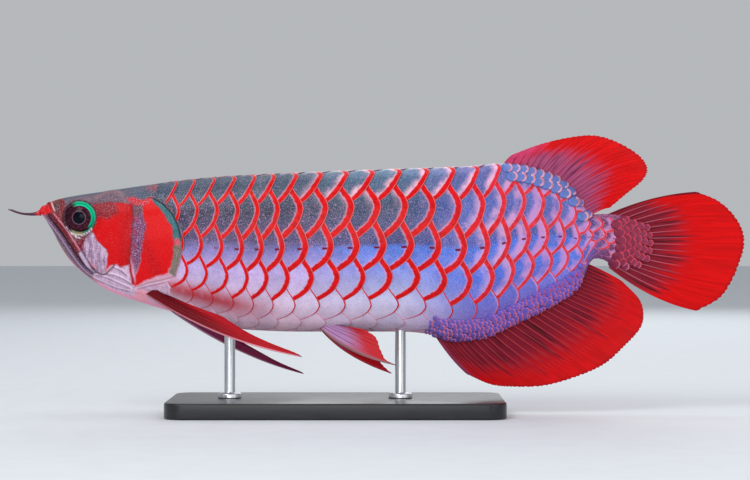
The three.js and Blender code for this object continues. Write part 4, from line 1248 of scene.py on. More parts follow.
@dataclass
class BigScales:
    """The big scales of one side, in slanting rows; each rim stands over the scale behind it."""

    body: BodyForm
    side: Side
    columns: int = 22
    rows: int = 6
    shear: float = 0.22
    thick: float = 0.42
    rim_height: float = 1.25
    fall_forward: float = 0.93
    fall_upward: float = 0.97
    fall_downward: float = 0.2
    under_cover: float = 1.6
    plate: Plate = Plate()

    column_x = staticmethod(curve_through([
        (-1, -163.4), (0.73, -141.9), (3.73, -97.4), (5.73, -67.4), (8.73, -12), (12.73, 67.4), (14.5, 96.5),
        (17.5, 138.5), (20.5, 170), (23.5, 196),
    ]))
    row_depth = staticmethod(curve_through([
        (0.3, 0.002), (0.4, 0.006), (1, 0.058), (2, 0.223), (3, 0.454), (4, 0.647), (5, 0.817),
        (6, 0.93), (6.9, 0.99),
    ]))
    # Rim from the top corner round the rear to the bottom one, then the hidden front
    rim = np.array([
        (-0.42, -0.74), (-0.26, -0.53), (-0.04, -0.25), (0.07, 0.06), (-0.1, 0.41), (-0.38, 0.64),
        (-0.72, 0.83), (-1.0, 0.94), (-1.24, 0.5), (-1.24, -0.05), (-0.86, -0.62),
    ])
    rim_ends = (0.02, 0.63)
    cell = np.array([19.2, 24.0])
    crown = np.array([-0.45, 0.12])
    rim_widths = (0.0, 3.5, 4.5, 4.7, 4.2, 1.0, 0.4)

    def build(self) -> bpy.types.Object:
        """Places every plate on its side's skin and stores the values that colour it.

        The level over the skin falls forward from the rim by the share of a column, and upward by the
        share of a row, so that each plate dips under the ones before and above it.

        Returns:
            The scales as one piece.
        """
        shares = np.arange(self.plate.sides) / self.plate.sides
        outline = spline(self.rim, shares, closed=True)
        local, out, under, faces = self.plate.grid(self.crown, outline)
        cells = [
            (i, j) for j in range(1, self.rows + 1) for i in range(self.columns - (2 if j == 1 else 0))
        ]
        i, j = np.array(cells, float).T[:, :, None]
        random = np.random.default_rng(11)
        tone = np.repeat(random.random(len(cells))[:, None], len(local), axis=1)
        wobble = 1.0 + 0.035 * random.standard_normal((len(cells), 1))
        u = i + self.shear * j + local[:, 0] * wobble
        top_row = (j == 1) * 0.32 * (1.0 - smooth(0.2, 0.8, local[:, 1]))
        r = j + local[:, 1] - top_row
        size = self.pitch(i + self.shear * j) / 19.2
        above, below = np.maximum(0.0, -local[:, 1]), np.maximum(0.0, local[:, 1])
        level = self.rim_height + self.fall_forward * local[:, 0]
        level = level - self.fall_upward * above - self.fall_downward * below
        level = np.maximum(level + 0.25 * (1.0 - out**2), -0.8)
        level = level - under * (self.thick + 0.9 * (1.0 - out))
        x = self.column_x(u)
        back, belly = self.body.back(x), self.body.belly(x)
        z = back + (belly - back) * self.row_depth(r)
        lift = level[None, :] * np.clip(size, 0.45, 1.0)
        # The gill cover lies over the front plates
        lift -= self.under_cover * smooth(-1.8, 0.4, depth_in(HeadMarks.cover, x, z))
        points = self.body.on_skin(self.side, x, z, lift)
        values = self.colour_values(local, out, under, i, j, x, r, size)
        values["tone"] = tone
        piece = new_piece(
            f"scales_{self.side.name.lower()}", points.reshape(-1, 3),
            self.plate.repeat(faces, len(local), len(cells)),
            {key: np.broadcast_to(value, x.shape).ravel() for key, value in values.items()},
        )
        add_patches(piece, self.patches(local, under, x, r))
        return piece

    def pitch(self, u: Array) -> Array:
        """Length of a column at a place along the lattice, in millimetres."""
        return self.column_x(u + 0.5) - self.column_x(u - 0.5)

    def colour_values(
        self, local: Array, out: Array, under: Array, i: Array, j: Array, x: Array, r: Array, size: Array
    ) -> dict[str, Array]:
        """Values that the finish reads.

        Args:
            local: Places on one plate, in columns and rows from its rearmost point.
            out: Share out to the rim.
            under: Mark of the underside.
            i: Column of each plate.
            j: Row of each plate.
            x: Places along the body.
            r: Places down the rows.
            size: Size of each plate against the biggest.

        Returns:
            The values by name.
        """
        start, end = self.rim_ends
        edge = spline(self.rim, np.linspace(start, end, 40), closed=True) * self.cell
        away, run = along_line(edge, local[:, 0] * self.cell[0], local[:, 1] * self.cell[1])
        narrow = 0.84 + 0.16 * hump(run, 0.46, 0.2) - 0.3 * smooth(0.86, 1.0, run)
        front = 0.66 + 0.34 * smooth(1.0, 6.0, i)
        rear = 1.0 - 0.38 * smooth(12.0, 18.5, i)
        width = np.array(self.rim_widths)[j.astype(int)] * narrow * front * rear
        width = width * np.clip(size, 0.5, 1.0) ** 0.6
        rim = np.abs(away) * np.clip(size, 0.4, 1.0) / width + 9.0 * under
        frost = smooth(0.26, 0.42, i / self.columns) * (1.0 - smooth(1.3, 2.4, r)) * 0.9
        frost = frost * np.where(j == 2, 0.5, 1.0)
        frost = np.maximum(frost, 0.75 * smooth(0.5, 0.7, i / self.columns))
        depth = self.row_depth(r)
        grain = 0.72 - 0.22 * smooth(0.6, 0.9, depth)
        return {
            "rim": np.clip(rim, 0.0, 12.0), "depth": depth, "along": self.body.along(x), "frost": frost,
            "pore": (j == 3) * smooth(1.0, 3.0, i), "fin_reflection": self.fin_reflection(x, depth),
            "forward": local[:, 0], "lower": local[:, 1], "grain": grain, "growth": out,
        }

    def fin_reflection(self, x: Array, depth: Array) -> Array:
        """Painted reflection of the red pectoral fin: a diffuse red patch on the lower flank above the
        folded fin.
        """
        length = smooth(-166.0, -150.0, x) * (1.0 - smooth(-116.0, -64.0, x))
        return 0.92 * length * hump(depth - 0.0006 * (x + 140.0), 0.81, 0.065)

    def patches(self, local: Array, under: Array, x: Array, r: Array) -> Array:
        """A small patch for each plate at its own place on the body's unwrap; undersides lie beside."""
        home = np.stack([x[:, :1] * np.ones_like(x), r[:, :1] * np.ones_like(x)], -1)
        start = 0.0 if self.side is Side.RIGHT else 0.5
        u = 0.02 + 0.94 * (home[..., 0] + 163.0) / 360.0 + 0.0016 * local[:, 0] + 0.0022 * under
        v = start + 0.02 + 0.06 * home[..., 1] + 0.0014 * local[:, 1]
        return np.stack([u, v], -1).reshape(-1, 2)


@dataclass
class SmallScales:
    """Rows of small scales: along the midline of the back and beside the bases of the fins."""

    body: BodyForm
    plate: Plate = Plate(10, (0.6, 1.0))
    fin_half: float = 1.5
    # Distance in from the fin's base, size and front end of each row
    dorsal_rows = ((3.4, 3.7, 98.0), (9.6, 4.1, 101.2))
    anal_rows = ((2.0, 2.0, 38.0), (5.0, 2.2, 40.0), (8.2, 2.3, 38.6), (11.4, 2.3, 41.0), (14.4, 2.2, 44.0))

    def outline(self) -> tuple[Array, Array, Array, list[Array]]:
        """One round plate, a little longer in front, in shares of its size."""
        angle = full_turn(self.plate.sides)
        ring = np.stack([np.cos(angle) - 0.25 * (np.cos(angle) < 0.0), 0.92 * np.sin(angle)], -1)
        return self.plate.grid(np.array([-0.1, 0.0]), ring)

    def rows_beside(
        self, centres: Array, sizes: Array, name: str, edge: float, side: Side, over: float = 0.0
    ) -> bpy.types.Object:
        """Places plates on one side at given x-z centres.

        Args:
            centres: Places as rows of x and z.
            sizes: Half length of each plate.
            name: Name of the piece.
            edge: How strongly the pale edges show, from 0 to 1.
            side: Side of the fish.
            over: Extra height over the skin, where the plates cover bigger ones.

        Returns:
            The plates as one piece.
        """
        local, out, under, faces = self.outline()
        size = sizes[:, None]
        x = centres[:, :1] + local[:, 0] * size
        z = centres[:, 1:] + local[:, 1] * size
        dome = 1.0 + 0.3 * local[:, 0] + 0.25 * (1.0 - out**2)
        level = (dome - under * (0.8 + 0.6 * (1.0 - out))) * size / 4.0 + over
        points = self.body.on_skin(side, x, z, level)
        over_fin = side.value * (self.fin_half + level)
        behind = (x > self.body.tail_x - 8.0) & (np.abs(points[..., 1]) < np.abs(over_fin))
        points[behind] = np.stack([x, over_fin, z], -1)[behind]
        return self.finish(name, points, local, out, under, faces, x, z, size, edge)

    def along_back(self) -> bpy.types.Object:
        """Places the one row of broad plates that closes the midline of the back."""
        local, out, under, faces = self.outline()
        centres = np.arange(-158.0, 92.0, 9.6)[:, None]
        size = np.full(centres.shape, 9.2)
        x = centres + local[:, 0] * size
        y = local[:, 1] * 9.6 + 0.0 * x
        level = 0.35 + 0.32 * local[:, 0] + 0.1 * (1.0 - out**2) - under * (0.4 + 0.5 * (1.0 - out))
        points = self.body.on_back(x, y, level[None, :] + 0.0 * x)
        return self.finish("back_scales", points, local, out, under, faces, x, self.body.back(x), size, 0.35)

    def finish(
        self, name: str, points: Array, local: Array, out: Array, under: Array, faces: list[Array], x: Array,
        z: Array, size: Array, edge: float,
    ) -> bpy.types.Object:
        """Makes the piece and stores the values that its finish reads."""
        body = self.body
        hidden = 1.0 - smooth(-0.75, -0.2, local[:, 0])
        rim = (1.0 - out) * size / np.maximum((0.16 + 0.2 * edge) * size, 0.7) + 9.0 * hidden + 9.0 * under
        depth = np.clip(body.depth(x, z), 0.0, 1.0)
        values = {
            "rim": np.clip(rim, 0.0, 12.0), "depth": depth, "along": np.clip(body.along(x), 0.0, 1.0),
            "frost": np.full(x.shape, edge), "pore": np.zeros(x.shape), "grain": np.full(x.shape, 0.5),
            "growth": np.broadcast_to(out, x.shape), "tone": np.full(x.shape, 0.6),
        }
        count = len(x)
        piece = new_piece(
            name, points.reshape(-1, 3), self.plate.repeat(faces, len(local), count),
            {key: np.asarray(value, float).ravel() for key, value in values.items()},
        )
        u = 0.02 + 0.94 * (x[:, :1] + 170.0) / 370.0 + 0.0012 * local[:, 0] + 0.003 * under
        v = 0.02 + 0.9 * np.clip(depth[:, :1], 0.0, 1.0) + 0.0012 * local[:, 1]
        add_patches(piece, np.stack([u, v], -1).reshape(-1, 2))
        return piece

    def dorsal_base(self, side: Side) -> bpy.types.Object:
        """Places two rows of bead-like plates beside the base of the dorsal fin."""
        centres, sizes = [], []
        for inset, size, start in self.dorsal_rows:
            x = np.arange(start, 158.0, size * 1.62)
            centres.append(np.stack([x, self.body.back(x) - inset], -1))
            sizes.append(np.full(len(x), size))
        name = f"dorsal_base_scales_{side.name.lower()}"
        return self.rows_beside(np.vstack(centres), np.concatenate(sizes), name, 0.9, side, 0.4)

    def anal_base(self, side: Side) -> bpy.types.Object:
        """Places five rows of grains over the base of the anal fin."""
        random = np.random.default_rng(5)
        centres, sizes = [], []
        for inset, size, start in self.anal_rows:
            x = np.arange(start, 154.0, size * 1.45)
            x = x + 0.45 * random.standard_normal(len(x))
            z = self.body.belly(x) + inset + 0.5 * random.standard_normal(len(x))
            centres.append(np.stack([x, z], -1))
            taper = 0.7 + 0.3 * smooth(36.0, 52.0, x)
            sizes.append(size * taper * (1.0 + 0.12 * random.standard_normal(len(x))))
        name = f"anal_base_scales_{side.name.lower()}"
        return self.rows_beside(np.vstack(centres), np.concatenate(sizes), name, 0.35, side, 0.85)

    def tail_root(self, side: Side) -> bpy.types.Object:
        """Places shrinking columns of plates that run from the tail root onto the fin."""
        centres, sizes = [], []
        for k in range(6):
            x = 183.0 + 4.3 * k
            half = 15.6 + 0.34 * (x - 183.0) - 0.9 * max(k - 1, 0) ** 1.6
            z = np.arange(-half + 2.9 * (k % 2), half + 0.1, 5.8)
            centres.append(np.stack([x - 0.018 * z * z, 128.2 + z], -1))
            sizes.append(np.full(len(z), 3.9 - 0.16 * k))
        name = f"tail_root_scales_{side.name.lower()}"
        return self.rows_beside(np.vstack(centres), np.concatenate(sizes), name, 0.3, side)


# Fins


@dataclass(frozen=True)
class FinForm:
    """A fin ruled by a few guide rays, each a root, a middle and a tip in x, y and z."""

    node: str
    guides: list
    ray_count: int
    wave: float
    side: int = 0
    rows: int = 60
    per_ray: int = 12
    ray_thick: float = 1.9
    web_thick: float = 0.8
    tip_thick: float = 0.5
    notch: float = 1.2

    def build(self) -> bpy.types.Object:
        """Makes the fin as a sheet whose thickness swells along its branching rays.

        Each line from root to tip is a quadratic curve; a ray parts in two beyond a third of its length
        and in four near the edge, and the edge is cut back between the rays.

        Returns:
            The fin, with the shares across and along it and the ray mask stored on its points.
        """
        guides = np.array(self.guides, float)
        columns = (self.ray_count - 1) * self.per_ray + 1
        s = np.linspace(0.0, 1.0, columns)
        roots, middles, tips = (spline(guides[:, k], s) for k in range(3))
        control = 2.0 * middles - (roots + tips) / 2.0
        phase = np.abs((s * (self.ray_count - 1) + 0.5) % 1.0 - 0.5)
        length = np.linalg.norm(tips - roots, axis=1)
        uneven = 0.6 + 0.4 * np.sin(7.3 * s * self.ray_count)
        cut = self.notch * (1.0 - hump(np.abs(phase - 0.22), 0.0, 0.15)) * (0.7 + 0.3 * uneven)
        reach = 1.0 - cut / length
        t = np.linspace(0.0, 1.0, self.rows)[None, :] * reach[:, None]
        w = t[..., None]
        points = (1 - w) ** 2 * roots[:, None] + 2 * w * (1 - w) * control[:, None] + w * w * tips[:, None]
        points[..., 1] += self.wave * np.sin(5.5 * s[:, None] + 1.2) * t * t
        first = 0.25 * smooth(0.3, 0.8, t)
        second = 0.125 * smooth(0.66, 1.0, t)
        offset = np.abs(np.abs(phase[:, None] - first) - second)
        ray = np.exp(-((offset / (0.13 - 0.07 * t)) ** 2))
        web = self.web_thick + (self.tip_thick - self.web_thick) * t
        swell = (self.ray_thick - self.web_thick) * (1.0 - 0.75 * t) * ray
        root = 1.6 * np.exp(-((t * length[:, None] / 5.0) ** 2))
        half = (web + swell + root) / 2.0
        normal = self.normals(points)
        outward = normal * half[..., None]
        faces_points = np.concatenate([points + outward, points - outward])
        if self.side < 0:
            faces_points[..., 1] *= -1.0
        across = np.broadcast_to(s[:, None], t.shape)
        values = {"across": across, "along": t / reach[:, None], "ray": ray}
        return new_piece(
            f"{self.node}_web", faces_points.reshape(-1, 3), [sheet_faces(columns, self.rows)],
            {key: np.concatenate([value, value]).ravel() for key, value in values.items()},
        )

    def normals(self, points: Array) -> Array:
        """Direction across the sheet: straight across for a fin on the midline."""
        if self.side == 0:
            return np.broadcast_to(np.array([0.0, 1.0, 0.0]), points.shape)
        normal = np.cross(np.gradient(points, axis=0), np.gradient(points, axis=1))
        return normal / np.maximum(np.linalg.norm(normal, axis=-1, keepdims=True), 1e-9)


DORSAL = [
    [(93.1, 0, 183), (98, 0, 191), (103.7, 0, 195.1)],
    [(107.5, 0, 182.5), (114.4, 0, 194), (122, 0, 202)],
    [(117.5, 0, 179.5), (129.3, 0, 196), (142.8, 0, 207.1)],
    [(127, 0, 176.5), (145, 0, 196.2), (163, 0, 208.9)],
    [(135, 0, 172), (156.5, 0, 192), (179.9, 0, 204.2)],
    [(141.5, 0, 166), (169, 0, 185.2), (196.5, 0, 194.2)],
    [(145.8, 0, 160.5), (174, 0, 177.2), (203.2, 0, 184.2)],
    [(149, 0, 155.5), (174.6, 0, 169.5), (199.8, 0, 175.2)],
    [(152, 0, 151), (171.2, 0, 160.8), (188, 0, 165.2)],
    [(159, 0, 147.6), (168.2, 0, 152.6), (175.2, 0, 154.4)],
]
ANAL = [
    [(41.6, 0, 62), (54.6, 0, 43.4), (68, 0, 29.4)],
    [(49, 0, 59), (65.5, 0, 39), (86, 0, 21.7)],
    [(61, 0, 57), (80.7, 0, 36.8), (102.8, 0, 20)],
    [(76.5, 0, 60.5), (101, 0, 38.4), (126.5, 0, 21)],
    [(93, 0, 67), (122.7, 0, 46.4), (150.5, 0, 27.8)],
    [(110, 0, 76), (141.5, 0, 55.4), (170.7, 0, 37)],
    [(124, 0, 83.5), (157.2, 0, 65.6), (185.7, 0, 50.4)],
    [(137.5, 0, 91), (170, 0, 76), (197.7, 0, 63.8)],
    [(146, 0, 98), (176.7, 0, 85.4), (200.4, 0, 74.8)],
    [(151, 0, 106.5), (177, 0, 96), (197, 0, 86.3)],
    [(153, 0, 115), (170.7, 0, 107), (184.4, 0, 99.4)],
]
CAUDAL = [
    [(170, 0, 148.2), (205.2, 0, 161), (240.5, 0, 166.6)],
    [(182, 0, 144.5), (221, 0, 157.6), (256.2, 0, 160)],
    [(187, 0, 139.5), (230, 0, 148.6), (267.5, 0, 150)],
    [(188, 0, 133.8), (234.5, 0, 137.8), (274.6, 0, 137.8)],
    [(188, 0, 128), (235, 0, 126.8), (275.7, 0, 125.8)],
    [(188, 0, 122.2), (233, 0, 116.2), (272, 0, 113)],
    [(187, 0, 116), (228, 0, 105), (266, 0, 98.8)],
    [(183, 0, 112.4), (221, 0, 96.6), (257, 0, 86.4)],
    [(174, 0, 109.6), (206.7, 0, 88.6), (240.5, 0, 77)],
]
PECTORAL_RIGHT = [
    [(-171, 12, 88), (-113.5, 36, 49.2), (-55.8, 48, 26.8)],
    [(-169.4, 12, 89), (-112.8, 34, 53), (-59.5, 46, 29)],
    [(-167.6, 12, 90), (-117.3, 31, 59), (-75.3, 42, 36)],
    [(-165.6, 12, 90.6), (-126.3, 28, 65.8), (-92.5, 36, 45.8)],
    [(-163.6, 12, 91), (-136, 24, 72), (-112.8, 29, 57)],
]
PECTORAL_LEFT = [
    [(-171, 12, 89.6), (-115.8, 38, 62), (-53.5, 54, 45.5)],
    [(-169.4, 12, 90.6), (-115.8, 35.5, 66.5), (-58.8, 51, 48.3)],
    [(-167.6, 12, 91.6), (-121, 32.5, 72.5), (-78.3, 45, 55.4)],
    [(-165.6, 12, 92.2), (-130, 29, 77.8), (-94.8, 38, 62.8)],
    [(-163.6, 12, 92.6), (-139.8, 25, 83.6), (-113.5, 30, 74)],
]
PELVIC_RIGHT = [
    [(-43, 5, 64), (-19.8, 17, 43.2), (12.5, 27, 28)],
    [(-41, 5, 65), (-16.8, 16, 47), (5, 24, 35)],
    [(-38.6, 5, 65.8), (-16.8, 15, 51.6), (0.5, 21.5, 42.5)],
    [(-36, 5, 66.4), (-19, 14, 56), (-4.8, 19, 49)],
    [(-33.4, 5, 66.8), (-22, 13, 60), (-12.3, 17, 55)],
]
PELVIC_LEFT = [
    [(-43, 5, 65), (-18.3, 20, 48.1), (15.5, 32, 38)],
    [(-41, 5, 66), (-15.3, 18.5, 53), (7.2, 28, 41.8)],
    [(-38.6, 5, 66.8), (-14.5, 17, 57.5), (2.7, 25, 50)],
    [(-36, 5, 67.4), (-15.3, 16, 62.2), (-0.3, 22, 58.2)],
    [(-33.4, 5, 67.8), (-19.8, 15, 65.8), (-8.5, 19, 63.9)],
]


class Fins:
    """All seven fins and the finish of each."""

    unpaired = (
        (FinForm("dorsal_fin", DORSAL, 24, 1.6), FinFinish(
            "dorsal_membrane", (170, 76, 118), (216, 3, 7), (204, 62, 106), (104, 8, 30),
            0.6, 0.2, 0.7, 0.2)),
        (FinForm("anal_fin", ANAL, 36, 1.8, per_ray=8), FinFinish(
            "anal_membrane", (122, 12, 38), (204, 3, 10), (140, 54, 88), (224, 84, 88),
            0.76, 0.07, 0.42, 0.25, 1.05)),
        (FinForm("caudal_fin", CAUDAL, 17, 1.5), FinFinish(
            "tail_membrane", (130, 22, 42), (214, 2, 5), (110, 8, 26), (200, 118, 140),
            0.46, 0.03, 0.55, 0.0, 0.55)),
    )
    paired = (
        (FinForm("pectoral_fin_right", PECTORAL_RIGHT, 8, 0, 1), FinFinish(
            "far_pectoral", (150, 60, 100), (150, 50, 90), (210, 150, 180), (110, 30, 60),
            0.5, 0.1, 0.6)),
        # The near pectoral's pale leading edge is a painted highlight along its thick first ray
        (FinForm("pectoral_fin_left", PECTORAL_LEFT, 8, 0, -1), FinFinish(
            "near_pectoral", (120, 8, 24), (182, 18, 32), (226, 150, 166), (70, 4, 16),
            0.7, 0.07, 0.9)),
        (FinForm("pelvic_fin_right", PELVIC_RIGHT, 6, 0, 1), FinFinish(
            "far_pelvic", (170, 90, 130), (206, 20, 34), (214, 60, 80), (130, 20, 40),
            0.5, 0.1, 0.6)),
        (FinForm("pelvic_fin_left", PELVIC_LEFT, 6, 0, -1), FinFinish(
            "near_pelvic", (186, 140, 192), (198, 40, 50), (150, 104, 110), (96, 62, 60),
            0.62, 0.14, 0.85, 0.2)),
    )

    def build(self, rays: bpy.types.NodeTree) -> None:
        """Builds and dresses every fin, each standing for its own solid."""
        for forms, slot in ((self.unpaired, "fin_membrane"), (self.paired, "paired_fin_membrane")):
            for form, finish in forms:
                settle(form.build(), finish.make(rays), slot, form.node)


# Eyes and barbels


@dataclass
class Eye:
    """One eye as a flattened ball, set on the head's side."""

    body: BodyForm
    place: EyePlace
    side: Side
    around: int = 72
    steps: int = 36

    def build(self) -> bpy.types.Object:
        """Turns a polar grid into a flattened ball that faces out from the head.

        A point at angle a from the pole and b round it is bulge cos a outwards, radius sin a cos b along
        and radius sin a sin b up. The middle stands out a little more, as the lens does.

        Returns:
            The eye, with the share out from the pupil and the height stored on its points.
        """
        place = self.place
        polar = np.linspace(0.0, np.pi, self.steps + 2)[1:-1, None]
        turn = full_turn(self.around)[None, :]
        out = place.bulge * np.cos(polar) + 0.35 * np.exp(-((polar / 0.5) ** 2)) + 0.0 * turn
        along = place.radius * np.sin(polar) * np.cos(turn)
        rise = place.radius * np.sin(polar) * np.sin(turn)
        seat = self.body.skin_y(np.array(place.x), np.array(place.z)) - place.sink
        y = seat + out + place.down_tilt * rise + place.front_tilt * along
        grid = np.stack([place.x + along, self.side.value * y, place.z + rise], -1).reshape(-1, 3)
        poles = np.array([
            [place.x, self.side.value * (seat + place.bulge + 0.35), place.z],
            [place.x, self.side.value * (seat - place.bulge), place.z],
        ])
        reach = np.where(polar < np.pi / 2.0, np.sin(polar), 2.0 - np.sin(polar)) + 0.0 * turn
        above = np.cos(turn - 0.6) + 0.0 * polar
        faces = tube_faces(self.steps, self.around)
        values = {
            "reach": np.append(reach.ravel(), [0.0, 2.0]), "above": np.append(above.ravel(), [0.0, 0.0]),
        }
        return new_piece(f"eyeball_{self.side.name.lower()}", np.vstack([grid, poles]), faces, values)


@dataclass
class Barbel:
    """One barbel, a tapered feeler in front of the chin."""

    side: Side
    root_radius: float = 1.35
    tip_radius: float = 0.4
    steps: int = 40
    around: int = 16
    path = np.array([(-252.2, 2.0, 150.4), (-259, 3.4, 149.6), (-267, 4.8, 150.4), (-275.3, 6.2, 153.3)])

    def build(self) -> bpy.types.Object:
        """Carries a shrinking circle along the path, with a rounded tip."""
        share = np.linspace(0.0, 1.0, self.steps)
        centre = spline(self.path, share)
        tangent = np.gradient(centre, axis=0)
        tangent /= np.linalg.norm(tangent, axis=1, keepdims=True)
        level = np.cross(np.array([0.0, 1.0, 0.0]), tangent)
        level /= np.linalg.norm(level, axis=1, keepdims=True)
        sideways = np.cross(tangent, level)
        taper = self.root_radius + (self.tip_radius - self.root_radius) * share
        radius = taper + 0.7 * np.exp(-share / 0.12)
        radius = radius * np.sqrt(np.clip((1.0 - share) / 0.03, 0.04, 1.0))
        turn = full_turn(self.around)
        ring = level[:, None] * np.cos(turn)[None, :, None] + sideways[:, None] * np.sin(turn)[None, :, None]
        points = (centre[:, None] + ring * radius[:, None, None]).reshape(-1, 3)
        points = np.vstack([points, centre[:1], centre[-1:]])
        points[:, 1] *= self.side.value
        faces = tube_faces(self.steps, self.around)
        red = np.append(np.repeat(1.0 - smooth(0.02, 0.22, share), self.around), [1.0, 0.0])
        return new_piece(f"feeler_{self.side.name.lower()}", points, faces, {"blood": red})


# Stand and studio


@dataclass
class Stand:
    """Flat display base and the two rods that carry the fish."""

    length: float = 250.0
    width: float = 116.0
    height: float = 12.0
    corner: float = 14.0
    bevel: float = 1.5
    x: float = -30.0
    rod_radius: float = 4.0
    foot_radius: float = 9.0
    foot_height: float = 3.5
    gap: float = 0.3
    rod_sides: int = 64
    rods = (("stand_rod_front", -110.0), ("stand_rod_rear", 18.0))

    def base(self) -> bpy.types.Object:
        """Rounded board: a rounded rectangle drawn in by a quarter circle at its lower and upper edge."""
        quarter = np.linspace(0.0, np.pi / 2.0, 7)
        inset = self.bevel * np.concatenate([1.0 - np.sin(quarter), 1.0 - np.cos(quarter)])
        lower = self.bevel * (1.0 - np.cos(quarter))
        upper = self.height - self.bevel * (1.0 - np.sin(quarter))
        z = np.concatenate([lower, upper])
        turn = np.linspace(0.0, np.pi / 2.0, 13)
        corners = ((1, 1, 0.0), (-1, 1, 0.5), (-1, -1, 1.0), (1, -1, 1.5))
        rings = []
        for drawn_in, level in zip(inset, z):
            radius = self.corner - drawn_in
            ring = [
                np.stack([
                    self.x + sx * (self.length / 2 - self.corner) + radius * np.cos(turn + start * np.pi),
                    sy * (self.width / 2 - self.corner) + radius * np.sin(turn + start * np.pi),
                    np.full(turn.shape, level),
                ], -1)
                for sx, sy, start in corners
            ]
            rings.append(np.vstack(ring))
        ends = np.array([[self.x, 0.0, 0.0], [self.x, 0.0, self.height]])
        piece = new_piece("display_base", np.vstack([*rings, ends]), tube_faces(len(rings), len(rings[0])))
        return self.keep_edges(piece)

    def rod(self, name: str, x: float) -> bpy.types.Object:
        """Turned rod: a profile of radius and height carried round its own axis."""
        foot, top = self.height + self.gap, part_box(name)[1].z / MM
        soft = 0.8
        profile = np.array([
            (self.foot_radius - 0.2, foot), (self.foot_radius, foot + 0.2), (self.foot_radius, foot + 2.4),
            (self.foot_radius - 0.3, foot + 3.1), (self.foot_radius - soft, foot + self.foot_height),
            (self.rod_radius + 1.2, foot + self.foot_height),
            (self.rod_radius + 0.3, foot + self.foot_height + 0.3),
            (self.rod_radius, foot + self.foot_height + 1.2), (self.rod_radius, top),
        ])
        turn = full_turn(self.rod_sides)
        radius, z = profile[:, :1], profile[:, 1:] + 0.0 * turn
        points = np.stack([x + radius * np.cos(turn), radius * np.sin(turn), z], -1).reshape(-1, 3)
        ends = np.array([[x, 0.0, foot], [x, 0.0, top]])
        faces = tube_faces(len(profile), self.rod_sides)
        return self.keep_edges(new_piece(f"{name}_turned", np.vstack([points, ends]), faces))

    def keep_edges(self, piece: bpy.types.Object) -> bpy.types.Object:
        """Keeps the sharp edges crisp while the rounds stay smooth."""
        piece.data.set_sharp_from_angle(angle=0.7)
        return piece

    def build(self) -> None:
        """Builds and dresses the base and both rods."""
        board = PlainFinish(
            "black_board", (26, 27, 30), (34, 35, 39), 60.0, (1, 14, 14), 0.08, Gloss(0.3, 0.0, 0.4, 0.2)
        )
        steel = PlainFinish(
            "brushed_steel", (176, 180, 186), (206, 209, 213), 400.0, (1, 1, 0.05), 0.12,
            Gloss(0.24, 1.0, 0.0, 0.1),
        )
        settle(self.base(), board.make(), "stand_board", "stand_base")
        for name, x in self.rods:
            settle(self.rod(name, x), steel.make(), "stand_steel", name)


@dataclass
class Studio:
    """Pale floor, soft light and the camera at the photograph's viewing angle."""

    distance: float = 1.5625
    centre_x: float = -0.0011
    centre_z: float = 0.1303
    lens: float = 100.0
    floor_radius: float = 9.0
    floor_sides: int = 96
    ambient: float = 0.5
    sensor: float = 36.0
    sky_colour = (0.93, 0.96, 1.0, 1.0)
    aim = (-0.02, 0.0, 0.12)
    # Name, place, size, power and colour of each light
    lamps = (
        ("key_light", (-0.9, -1.5, 1.5), 1.1, 19.0, (1.0, 0.985, 0.96)),
        ("fill_light", (1.3, -1.6, 0.7), 1.4, 7.0, (1.0, 1.0, 1.0)),
        ("low_light", (-0.2, -1.7, 0.12), 1.0, 11.0, (1.0, 1.0, 1.0)),
        ("top_light", (0.1, 0.3, 1.8), 1.2, 8.0, (1.0, 1.0, 1.0)),
        ("back_light", (0.4, 1.9, 1.2), 1.4, 12.0, (1.0, 1.0, 1.0)),
    )

    def floor(self) -> None:
        """Lays a big round pale floor under the stand."""
        turn = full_turn(self.floor_sides)
        ring = np.stack([np.cos(turn), np.sin(turn), np.zeros(self.floor_sides)], -1) * self.floor_radius
        mesh = bpy.data.meshes.new("floor")
        mesh.from_pydata(ring.tolist(), [], [list(range(self.floor_sides))])
        floor = bpy.data.objects.new("floor", mesh)
        bpy.context.scene.collection.objects.link(floor)
        paint = PlainFinish(
            "pale_floor", (214, 219, 224), (217, 222, 227), 40.0, (1, 1, 1), 0.02, Gloss(0.7, 0.0, 0.0)
        )
        mesh.materials.append(paint.make())

    def light(self, name: str, place: tuple, size: float, power: float, colour: Colour) -> None:
        """Hangs one soft square light that faces the fish.

        Args:
            name: Name of the light.
            place: Its place in metres.
            size: Its side in metres.
            power: Its power in watts.
            colour: Its colour, as linear values.
        """
        lamp = bpy.data.lights.new(name, "AREA")
        lamp.shape = "SQUARE"
        lamp.size, lamp.energy, lamp.color = size, power, colour
        holder = bpy.data.objects.new(name, lamp)
        holder.location = place
        aim = Vector(self.aim) - Vector(place)
        holder.rotation_euler = aim.to_track_quat("-Z", "Y").to_euler()
        bpy.context.scene.collection.objects.link(holder)

    def build(self) -> None:
        """Sets the floor, the lights, the pale surroundings and the camera."""
        self.floor()
        for row in self.lamps:
            self.light(*row)
        world = bpy.data.worlds.new("studio_air")
        world.use_nodes = True
        sky = world.node_tree.nodes["Background"]
        sky.inputs["Color"].default_value = self.sky_colour
        sky.inputs["Strength"].default_value = self.ambient
        scene = bpy.context.scene
        scene.world = world
        scene.view_settings.view_transform = "Standard"
        lens = bpy.data.cameras.new("camera")
        lens.lens, lens.sensor_width = self.lens, self.sensor
        camera = bpy.data.objects.new("camera", lens)
        camera.location = (self.centre_x, -self.distance, self.centre_z)
        camera.rotation_euler = (np.pi / 2.0, 0.0, 0.0)
        scene.collection.objects.link(camera)
        scene.camera = camera


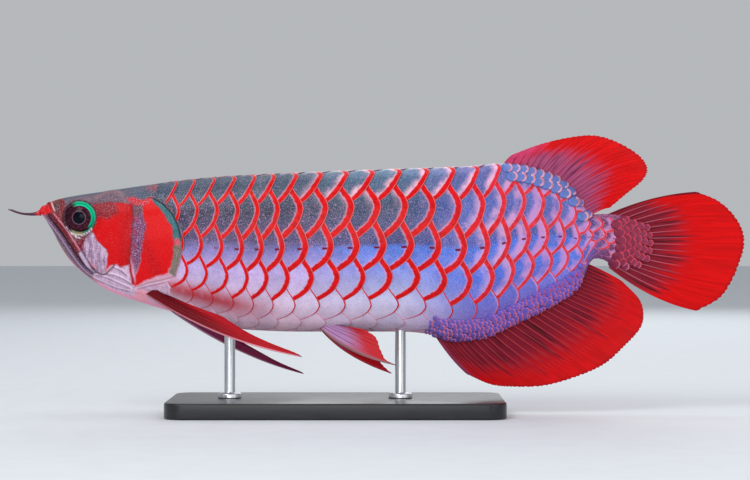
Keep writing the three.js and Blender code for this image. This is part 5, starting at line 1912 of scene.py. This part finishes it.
class Arowana:
    """The whole model: skin, scales, fins, eyes and barbels on their stand."""

    flesh = (
        "head", "lower_jaw", "gill_cover_right", "gill_cover_left", "trunk_front", "trunk_rear",
        "tail_peduncle",
    )

    def __init__(self) -> None:
        """Makes the shared forms and the shared node groups."""
        self.body = BodyForm()
        self.eye = EyePlace()
        self.flecks = make_fleck_group()
        self.rays = make_ray_group()

    def build(self) -> None:
        """Builds and dresses each piece in turn."""
        marks = HeadMarks(self.body, self.eye)
        settle(Skin(self.body, marks).build(), SkinFinish().make(self.flecks), "head_skin", *self.flesh)
        big = ScaleFinish("red_rimmed_scales").make(self.flecks)
        small = ScaleFinish("dusky_rimmed_scales", (112, 66, 86), (170, 110, 150)).make(self.flecks)
        beads = ScaleFinish(
            "pale_rimmed_beads", (240, 176, 204), (240, 176, 204), (92, 118, 184)
        ).make(self.flecks)
        grains = ScaleFinish(
            "violet_grains", (168, 110, 196), (200, 84, 124), (104, 88, 190)
        ).make(self.flecks)
        net = ScaleFinish("tail_root_net", (226, 66, 92), (226, 66, 92), (128, 36, 62)).make(self.flecks)
        rows = SmallScales(self.body)
        settle(rows.along_back(), small, "scale_skin")
        lens = EyeFinish().make()
        feeler = PlainFinish(
            "barbel_skin", (40, 20, 52), (90, 24, 50), 300.0, (1, 3, 3), 0.3, Gloss(0.35), (214, 10, 16)
        ).make()
        for side in Side:
            label = side.name.lower()
            settle(BigScales(self.body, side).build(), big, "scale_skin")
            settle(rows.dorsal_base(side), beads, "scale_skin")
            settle(rows.anal_base(side), grains, "scale_skin")
            settle(rows.tail_root(side), net, "scale_skin")
            settle(Eye(self.body, self.eye, side).build(), lens, "eye_lens", f"eye_{label}")
            settle(Barbel(side).build(), feeler, "barbel_skin", f"barbel_{label}")
        Fins().build(self.rays)


def main() -> None:
    """Builds the studio, the fish and its stand, and reports each piece."""
    logging.basicConfig(level=logging.INFO, format="%(name)s %(message)s")
    Studio().build()
    Arowana().build()
    Stand().build()


if __name__ == "__main__":
    main()
